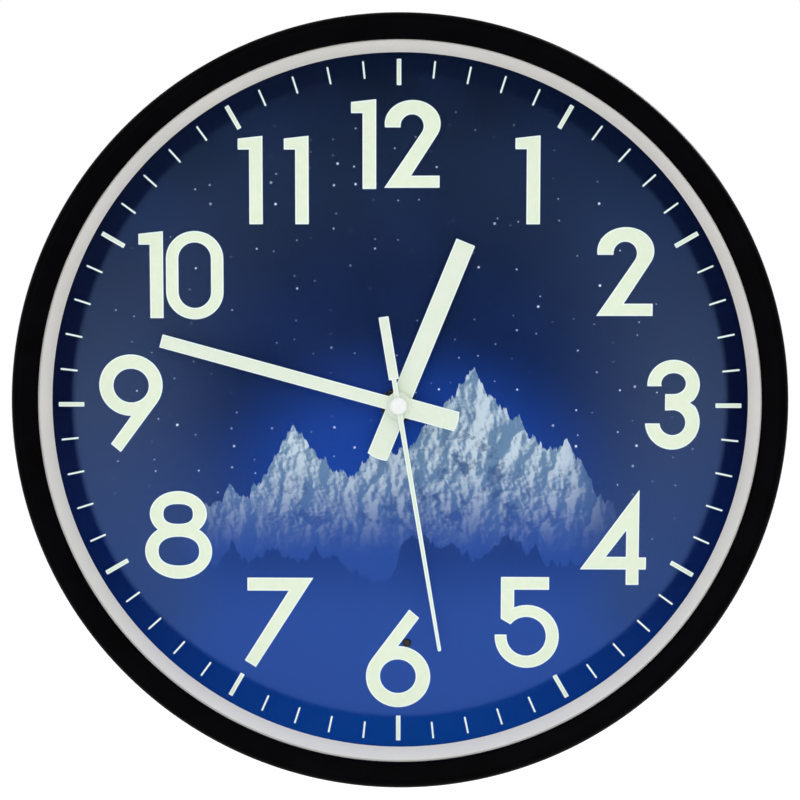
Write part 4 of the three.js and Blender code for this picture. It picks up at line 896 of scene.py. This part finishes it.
def make_sensor():
    """Dome through the dial, with a collar behind it and two wires."""
    x, y = SENSOR_PLACE
    rear, top = levels("light_sensor")
    base = DIAL_FRONT - SENSOR_DEPTH
    collar = base + COLLAR_HEIGHT
    dome = arc(0, DIAL_FRONT, SENSOR_RADIUS, top - DIAL_FRONT, 0, 90, step=10)
    profile = [
        (0, base), (COLLAR_RADIUS, base), (COLLAR_RADIUS, collar), (SENSOR_RADIUS, collar),
        *dome[:-1], (0, top)]
    body = Form().lathe(profile, SMALL_SIDES, place=Matrix.Translation((x, y, 0)))
    for side in (-1, 1):
        place = Matrix.Translation((x + side * WIRE_OFFSET, y, 0))
        body.cylinder(WIRE_RADIUS, rear, base, WIRE_SIDES, place)
    piece("sensor_dome", body, ["sensor_olive"], "case", ["light_sensor"])


BUSH_BORE = 4.3
BORE_CORNER = 0.1
WASHER_CORNER = 0.15
NUT_CORNER = 6.35
NUT_FACE = 5.35
CHAMFER_REACH = 6.5
CHAMFER_DEPTH = 0.45


def make_nut():
    # The washer and nut take the brass that is darkened into painted shade for the shadow between the hands
    rear, front = levels("bush_washer")
    rim = reach("bush_washer")
    profile = [
        (BUSH_BORE, rear, BORE_CORNER), (rim, rear, WASHER_CORNER),
        (rim, front, WASHER_CORNER), (BUSH_BORE, front, BORE_CORNER)]
    washer = Form().lathe(rounded(profile), MIDDLE_SIDES, ring=True)
    piece("washer_ring", washer, ["brass"], "case", ["bush_washer"])

    rear, front = levels("bush_nut")
    profile = [
        (0, rear), (NUT_FACE, rear), (CHAMFER_REACH, rear + CHAMFER_DEPTH),
        (CHAMFER_REACH, front - CHAMFER_DEPTH), (NUT_FACE, front), (0, front)]
    chamfered = Form().lathe(profile, MIDDLE_SIDES)
    nut = Form().prism(circle(NUT_CORNER, sides=6), rear, front, [circle(BUSH_BORE, sides=MIDDLE_SIDES)])
    piece("nut_hexagon", nut.carve("INTERSECT", chamfered), ["brass"], "case", ["bush_nut"])


# Back cover and its screws

COVER_REAR = levels("back_cover")[0]
COVER_FRONT = COVER_REAR + 2.2
RIB_ROOT = COVER_FRONT - 1
DIAL_RIB = (134.7, 136.7)
DIAL_RIB_TOP = DIAL_REAR - 0.3
STIFFENER_ANGLES = (60, 120, 150, 180, 210, 240, 300)
STIFFENER_START = 44.6
STIFFENER_END = DIAL_RIB[0] + 1
STIFFENER_HALF = 0.8
STIFFENER_TOP = COVER_FRONT + 3

# Middle and radius of the keyhole's ends, and the places, radii and tops of the control board's pins
KEYHOLE = ((0, 113), 5.0)
KEYHOLE_TOP = ((0, 123), 2.5)
BOARD_PINS = [(x, y) for x in (-7, 31) for y in (-103, -89)]
BOARD_POST = (2.2, 14.7)
BOARD_PIN = (0.9, 16.8)

# Width, height and corner of the switch's slot, and the margin and corner of openings round a solid
SWITCH_SLOT = (7.2, 2.4, 0.3)
MOVEMENT_OPENING = (0.6, 4.0)
BATTERY_OPENING = (-2.4, 1.5)


def window(node, margin, corner):
    """Outline of a solid as seen from the front, widened by a margin."""
    (left, right), (bottom, top), _ = spans(node)
    return rectangle(right - left + 2 * margin, top - bottom + 2 * margin, corner, middle(node))


def keyhole():
    (x, y), radius = KEYHOLE
    (_, top), slot = KEYHOLE_TOP
    side = degrees(acos(slot / radius))
    return arc(x, y, radius, radius, 180 - side, 360 + side) + arc(x, top, slot, slot, 0, 180, step=10)


def make_cover():
    """Disc with openings, a rib that carries the dial, stiffeners and pins for the control board."""
    movement = window("movement_rear_case", *MOVEMENT_OPENING)
    battery = window("battery_box", *BATTERY_OPENING)
    holes = [movement, battery, keyhole(), rectangle(*SWITCH_SLOT, middle("switch_slider"))]
    holes += [circle(BOSS_BORE, middle(f"cover_screw_{n + 1}")) for n in range(SCREW_COUNT)]
    disc = circle(reach("back_cover"), sides=LARGE_SIDES)
    cover = Form().prism(disc, COVER_REAR, COVER_FRONT, holes)
    inner, outer = DIAL_RIB
    rib = [(inner, RIB_ROOT), (outer, RIB_ROOT), (outer, DIAL_RIB_TOP), (inner, DIAL_RIB_TOP)]
    cover.lathe(rib, ring=True)
    for angle in STIFFENER_ANGLES:
        turn = Matrix.Rotation(radians(angle), 4, "Z")
        low = (STIFFENER_START, -STIFFENER_HALF, RIB_ROOT)
        high = (STIFFENER_END, STIFFENER_HALF, STIFFENER_TOP)
        cover.block(low, high, turn)
    (post, post_top), (pin, pin_top) = BOARD_POST, BOARD_PIN
    profile = [
        (0, RIB_ROOT), (post, RIB_ROOT), (post, post_top), (pin, post_top), (pin, pin_top), (0, pin_top)]
    for x, y in BOARD_PINS:
        cover.lathe(profile, SMALL_SIDES, place=Matrix.Translation((x, y, 0)))
    piece("cover_plate", cover, ["black_grain"], "case", ["back_cover"], edge=0.3)


HEAD_HEIGHT = 1.5
HEAD_ROUND = 0.9
SEAT_ROUND = 0.2
SHANK_RADIUS = 1.0
THREAD_PITCH = 0.8
THREAD_DEPTH = 0.2
CROSS_WIDTH = 0.5
CROSS_REACH = 1.35
CROSS_DEPTH = 0.75
SCREW_TURN = 47


def make_screw(name, turn):
    """Pan head with a cross recess and a threaded shank."""
    _, (bottom, top), (rear, tip) = spans(name)
    head = (top - bottom) / 2
    seat = rear + HEAD_HEIGHT
    thread = []
    for n in range(int((tip - seat) / THREAD_PITCH) - 1):
        root = seat + (n + 0.5) * THREAD_PITCH
        thread += [(SHANK_RADIUS - THREAD_DEPTH, root), (SHANK_RADIUS, root + THREAD_PITCH / 2)]
    profile = [
        (0, rear), (head, rear, HEAD_ROUND), (head, seat, SEAT_ROUND), (SHANK_RADIUS, seat),
        *thread, (0, tip)]
    place = Matrix.Translation((*middle(name), 0)) @ Matrix.Rotation(turn, 4, "Z")
    bars = []
    for across in (0, pi / 2):
        inner = (CROSS_REACH, CROSS_WIDTH / 2, rear + CROSS_DEPTH)
        outer = (-CROSS_REACH, -CROSS_WIDTH / 2, rear - PAST)
        bars.append(Form().block(outer, inner, place @ Matrix.Rotation(across, 4, "Z")))
    screw = Form().lathe(rounded(profile, closed=False), SMALL_SIDES, place=place).carve("DIFFERENCE", *bars)
    piece(name + "_threaded", screw, ["screw_steel"], "case", [name])


def make_screws():
    for n in range(SCREW_COUNT):
        make_screw(f"cover_screw_{n + 1}", radians(SCREW_TURN * n))


# Cells, battery door, switch slider and the signs on the movement's back

SLEEVE, BAND, METAL = range(3)
CELL_HALF = 25.25
CELL_RADIUS = 7.25
NUB_RADIUS = 2.75
NUB_HEIGHT = 1
BAND_LENGTH = 13


def make_cell(name, turn):
    """Sleeved cell, drawn about its middle with its contact nub in front and then turned."""
    end, shoulder = -CELL_HALF, CELL_HALF - NUB_HEIGHT
    corners = [
        (0, end, METAL), (5.4, end, METAL), (5.8, end + 0.4, METAL), (6.3, end + 0.4, SLEEVE),
        (6.5, end + 0.1, SLEEVE), (6.9, end + 0.1, SLEEVE), (CELL_RADIUS, end + 0.5, SLEEVE),
        (CELL_RADIUS, shoulder - BAND_LENGTH, BAND), (CELL_RADIUS, shoulder - 0.5, BAND),
        (6.9, shoulder - 0.1, BAND), (6.5, shoulder - 0.1, BAND), (6.3, shoulder - 0.4, METAL),
        (3.3, shoulder - 0.4, METAL), (NUB_RADIUS + 0.2, shoulder, METAL),
        (NUB_RADIUS, CELL_HALF - 0.3, METAL), (NUB_RADIUS - 0.3, CELL_HALF, METAL), (0, CELL_HALF, METAL)]
    profile = [corner[:2] for corner in corners]
    slots = [corner[2] for corner in corners]
    low, high = levels(name)
    place = Matrix.Translation((*middle(name), (low + high) / 2)) @ turn
    cell = Form().lathe(profile, MIDDLE_SIDES, place=place, slots=slots)
    piece(name + "_sleeved", cell, ["cell_sleeve", "cell_band", "steel"], "case", [name])


def make_cells():
    nub_up = Matrix.Rotation(-pi / 2, 4, "X")
    nub_down = Matrix.Rotation(pi / 2, 4, "X")
    for n, turn in enumerate((nub_up, nub_down, nub_up)):
        make_cell(f"led_cell_{n + 1}", turn)
    make_cell("clock_cell", Matrix.Rotation(pi / 2, 4, "Y"))


# Placings that lay the length of a prism along x or along y
ALONG_X = Matrix(((0, 0, 1, 0), (1, 0, 0, 0), (0, 1, 0, 0), (0, 0, 0, 1)))
ALONG_Y = Matrix(((1, 0, 0, 0), (0, 0, 1, 0), (0, 1, 0, 0), (0, 0, 0, 1)))
PIN_REACH = 1.2
PIN_RADIUS = 0.7
GRIP_COUNT = 4
GRIP_HALF = 9.0
GRIP_PITCH = 2.0
GRIP_DEPTH = 0.5


def make_door():
    """Plate with a half-round hinge edge, pins and finger grooves by its free edge."""
    (pin_left, pin_right), (bottom, top), (rear, front) = spans("battery_door")
    left, right = pin_left + PIN_REACH, pin_right - PIN_REACH
    half = (front - rear) / 2
    hinge = (top - half, rear + half)
    section = [(bottom, rear), *arc(*hinge, half, half, -90, 90, step=15), (bottom, front)]
    centre = (left + right) / 2
    grooves = []
    for n in range(GRIP_COUNT):
        base = bottom + (n + 1.5) * GRIP_PITCH
        outer = (centre - GRIP_HALF, base, rear - PAST)
        inner = (centre + GRIP_HALF, base + GRIP_PITCH / 2, rear + GRIP_DEPTH)
        grooves.append(Form().block(outer, inner))
    door = Form().prism(section, left, right, place=ALONG_X).carve("DIFFERENCE", *grooves)
    door.prism(circle(PIN_RADIUS, hinge, PIN_SIDES), pin_left, pin_right, place=ALONG_X)
    piece("door_plate", door, ["black_grain"], "battery_door", ["battery_door"], edge=0.2)


RIDGE_COUNT = 3
RIDGE_HEIGHT = 0.35
RIDGE_TOP = (0.25, 0.75)


def make_slider():
    """Slider with ridges on the end that a finger moves."""
    name = "switch_slider"
    (left, right), (bottom, top), (rear, front) = spans(name)
    pitch, valley = (right - left) / RIDGE_COUNT, rear + RIDGE_HEIGHT
    ridges = []
    for n in range(RIDGE_COUNT):
        foot = left + n * pitch
        ridges += [(foot, valley), *[(foot + share * pitch, rear) for share in RIDGE_TOP]]
    outline = [*ridges, (right, valley), (right, front), (left, front)]
    slider = Form().prism(outline, bottom, top, place=ALONG_Y)
    piece("slider_ridged", slider, ["black_satin"], name, [name], edge=0.08)


SIGN_HALF = 2.2
SIGN_STROKE = 0.5
SIGN_PROUD = 0.4
SIGN_ROOT = 0.05
SIGN_PLACE = (22.5, -7.6)
ARROW_RADIUS = 9.6
ARROW_HALF = 1.8
ARROW_START = 215
ARROW_NECK = 318
ARROW_TIP = 336


def make_movement_signs():
    """Raised plus and minus above the clock cell's ends and an arrow round the setting knob."""
    face = levels("movement_rear_case")[0]
    level = (face - SIGN_PROUD, face + SIGN_ROOT)
    x, y = SIGN_PLACE
    a, b = SIGN_HALF, SIGN_STROKE
    arms = [(-a, -b), (-b, -b), (-b, -a), (b, -a), (b, -b), (a, -b),
            (a, b), (b, b), (b, a), (-b, a), (-b, b), (-a, b)]
    plus = [(x + dx, y + dy) for dx, dy in arms]
    knob = middle("setting_knob")
    outer, inner = ARROW_RADIUS + b, ARROW_RADIUS - b
    head = [polar(knob, ARROW_RADIUS + ARROW_HALF, ARROW_NECK), polar(knob, ARROW_RADIUS, ARROW_TIP),
            polar(knob, ARROW_RADIUS - ARROW_HALF, ARROW_NECK)]
    arrow = [*arc(*knob, outer, outer, ARROW_START, ARROW_NECK), *head,
             *arc(*knob, inner, inner, ARROW_NECK, ARROW_START)]
    signs = Form().prism(plus, *level)
    signs.block((-x - a, y - b, level[0]), (-x + a, y + b, level[1]))
    signs.prism(arrow, *level)
    piece("movement_signs", signs, ["black_satin"], "case", edge=0.06)


make_frame()
make_lens()
make_ring()
make_dial()
make_numerals()
make_ticks()
make_baton("hour_hand")
make_baton("minute_hand")
make_second_hand()
make_cap()
make_sensor()
make_nut()
make_cover()
make_screws()
make_cells()
make_door()
make_slider()
make_movement_signs()

# Solids that stay as they are, with a look of their own and softened edges
KEPT = [
    ("black_grain", 0.3, ["battery_box"]),
    ("black_satin", 0.3, ["movement_front_case", "movement_rear_case"]),
    ("black_satin", 0.15, ["train_plate", "setting_knob"]),
    ("steel", 0.08, ["led_contact_plus", "led_contact_link_upper", "led_contact_link_lower",
                     "led_contact_minus", "switch_body", "clock_contact_plus", "clock_contact_minus",
                     "quartz_crystal"]),
    ("copper_wire", 0.1, ["coil_winding"]),
    ("iron", 0.1, ["stator", "coil_core"]),
    ("rubber", 0.1, ["bush_gasket"]),
    ("board_green", 0.1, ["control_board", "movement_board"]),
    ("strip_white", 0.1, ["led_strip"]),
    ("wheel_plastic", 0.06, ["coil_bobbin", "centre_wheel", "hour_wheel", "minute_work_wheel", "third_wheel",
                             "second_wheel", "fifth_wheel"]),
    ("pinion_plastic", 0.06, ["rotor_pinion"]),
    ("lead_sleeve", 0.1, ["battery_lead", "strip_lead"]),
    ("magnet", 0.1, ["rotor_magnet"]),
]

# Solids among them whose facets are shaded as one round surface
ROUND = {"coil_winding", "quartz_crystal", "bush_gasket", "rotor_magnet", "battery_lead", "strip_lead",
         "led_strip"}
ROUND_SHADE_FROM = 46


def finish_kept():
    for look, edge, names in KEPT:
        for name in names:
            mesh = nodes[name].data
            mesh.materials.clear()
            mesh.materials.append(LOOKS[look])
            if name in ROUND:
                mesh.shade_smooth()
                mesh.set_sharp_from_angle(angle=radians(ROUND_SHADE_FROM))
            soften(nodes[name], edge)


finish_kept()

# Camera at the photograph's angle: the dial's middle seen from just above and a little to the right
CAMERA_AZIMUTH = 0.9
CAMERA_ELEVATION = 3.3
CAMERA_DISTANCE = 0.489
CAMERA_ROLL = 0.07
CAMERA_LENS = 55.21
CAMERA_SENSOR = 36.0
CAMERA_SHIFT = (0.0017, 0.0062)
CAMERA_NEAR = 0.01


def make_camera():
    data = bpy.data.cameras.new("camera")
    data.lens = CAMERA_LENS
    data.sensor_width = CAMERA_SENSOR
    data.shift_x, data.shift_y = CAMERA_SHIFT
    data.clip_start = CAMERA_NEAR
    camera = add_object("camera", data)
    azimuth, elevation = radians(CAMERA_AZIMUTH), radians(CAMERA_ELEVATION)
    away = Vector((sin(azimuth) * cos(elevation), -cos(azimuth) * cos(elevation), sin(elevation)))
    camera.location = UPRIGHT @ Vector((0, 0, DIAL_FRONT)) + away * CAMERA_DISTANCE
    level = (-away).to_track_quat("-Z", "Y").to_matrix()
    camera.rotation_euler = (level @ Matrix.Rotation(radians(CAMERA_ROLL), 3, "Z")).to_euler()
    bpy.context.scene.camera = camera


# Studio in metres: a pale floor far below, a white surround that lights less from behind, and two lamps
LAMPS = {"front_lamp": ((-0.35, -2.1, 0.2), 3.0), "rear_lamp": ((1.3, 1.2, 1.5), 60.0)}
LAMP_SIZE = 0.9
REAR_LIGHT = 0.5
REAR_BLEND = 0.6
FLOOR_LEVEL = -1.2
FLOOR_HALF = 12.0
FLOOR_GLOW = 0.3
FLOOR_SHADES = (linear(242, 242, 242), linear(245, 245, 245))
FLOOR_CLOUD = 400


def make_surround():
    look = Look(bpy.data.worlds.new("studio"), {"Color": (1, 1, 1, 1)}, "Background")
    toward = look.node("SeparateXYZ", {0: look.node("TexCoord").outputs["Generated"]})
    light = look.remap(toward.outputs["Y"], 0, REAR_BLEND, 1, REAR_LIGHT)
    look.feed("Strength", look.math("MAXIMUM", light, look.seen()))
    bpy.context.scene.world = look.owner


def make_lamps():
    for name, (place, power) in LAMPS.items():
        light = bpy.data.lights.new(name, "AREA")
        light.shape = "DISK"
        light.size = LAMP_SIZE
        light.energy = power
        lamp = add_object(name, light)
        lamp.location = place
        lamp.rotation_euler = (-Vector(place)).to_track_quat("-Z", "Y").to_euler()


def make_floor():
    mesh = bpy.data.meshes.new("floor")
    mesh.from_pydata([(x * FLOOR_HALF, y * FLOOR_HALF, FLOOR_LEVEL) for x, y in SQUARE], [], [(0, 1, 2, 3)])
    look = Look(bpy.data.materials.new("floor"), {**sheen(0.0), "Emission Color": (1, 1, 1, 1)})
    look.feed("Base Color", look.mix(look.noise(FLOOR_CLOUD), *FLOOR_SHADES))
    look.feed("Emission Strength", look.remap(look.seen(), 0, 1, 0, FLOOR_GLOW, "LINEAR"))
    mesh.materials.append(look.owner)
    add_object("floor", mesh)


make_camera()
make_surround()
make_lamps()
make_floor()
bpy.context.scene.view_settings.view_transform = "Standard"
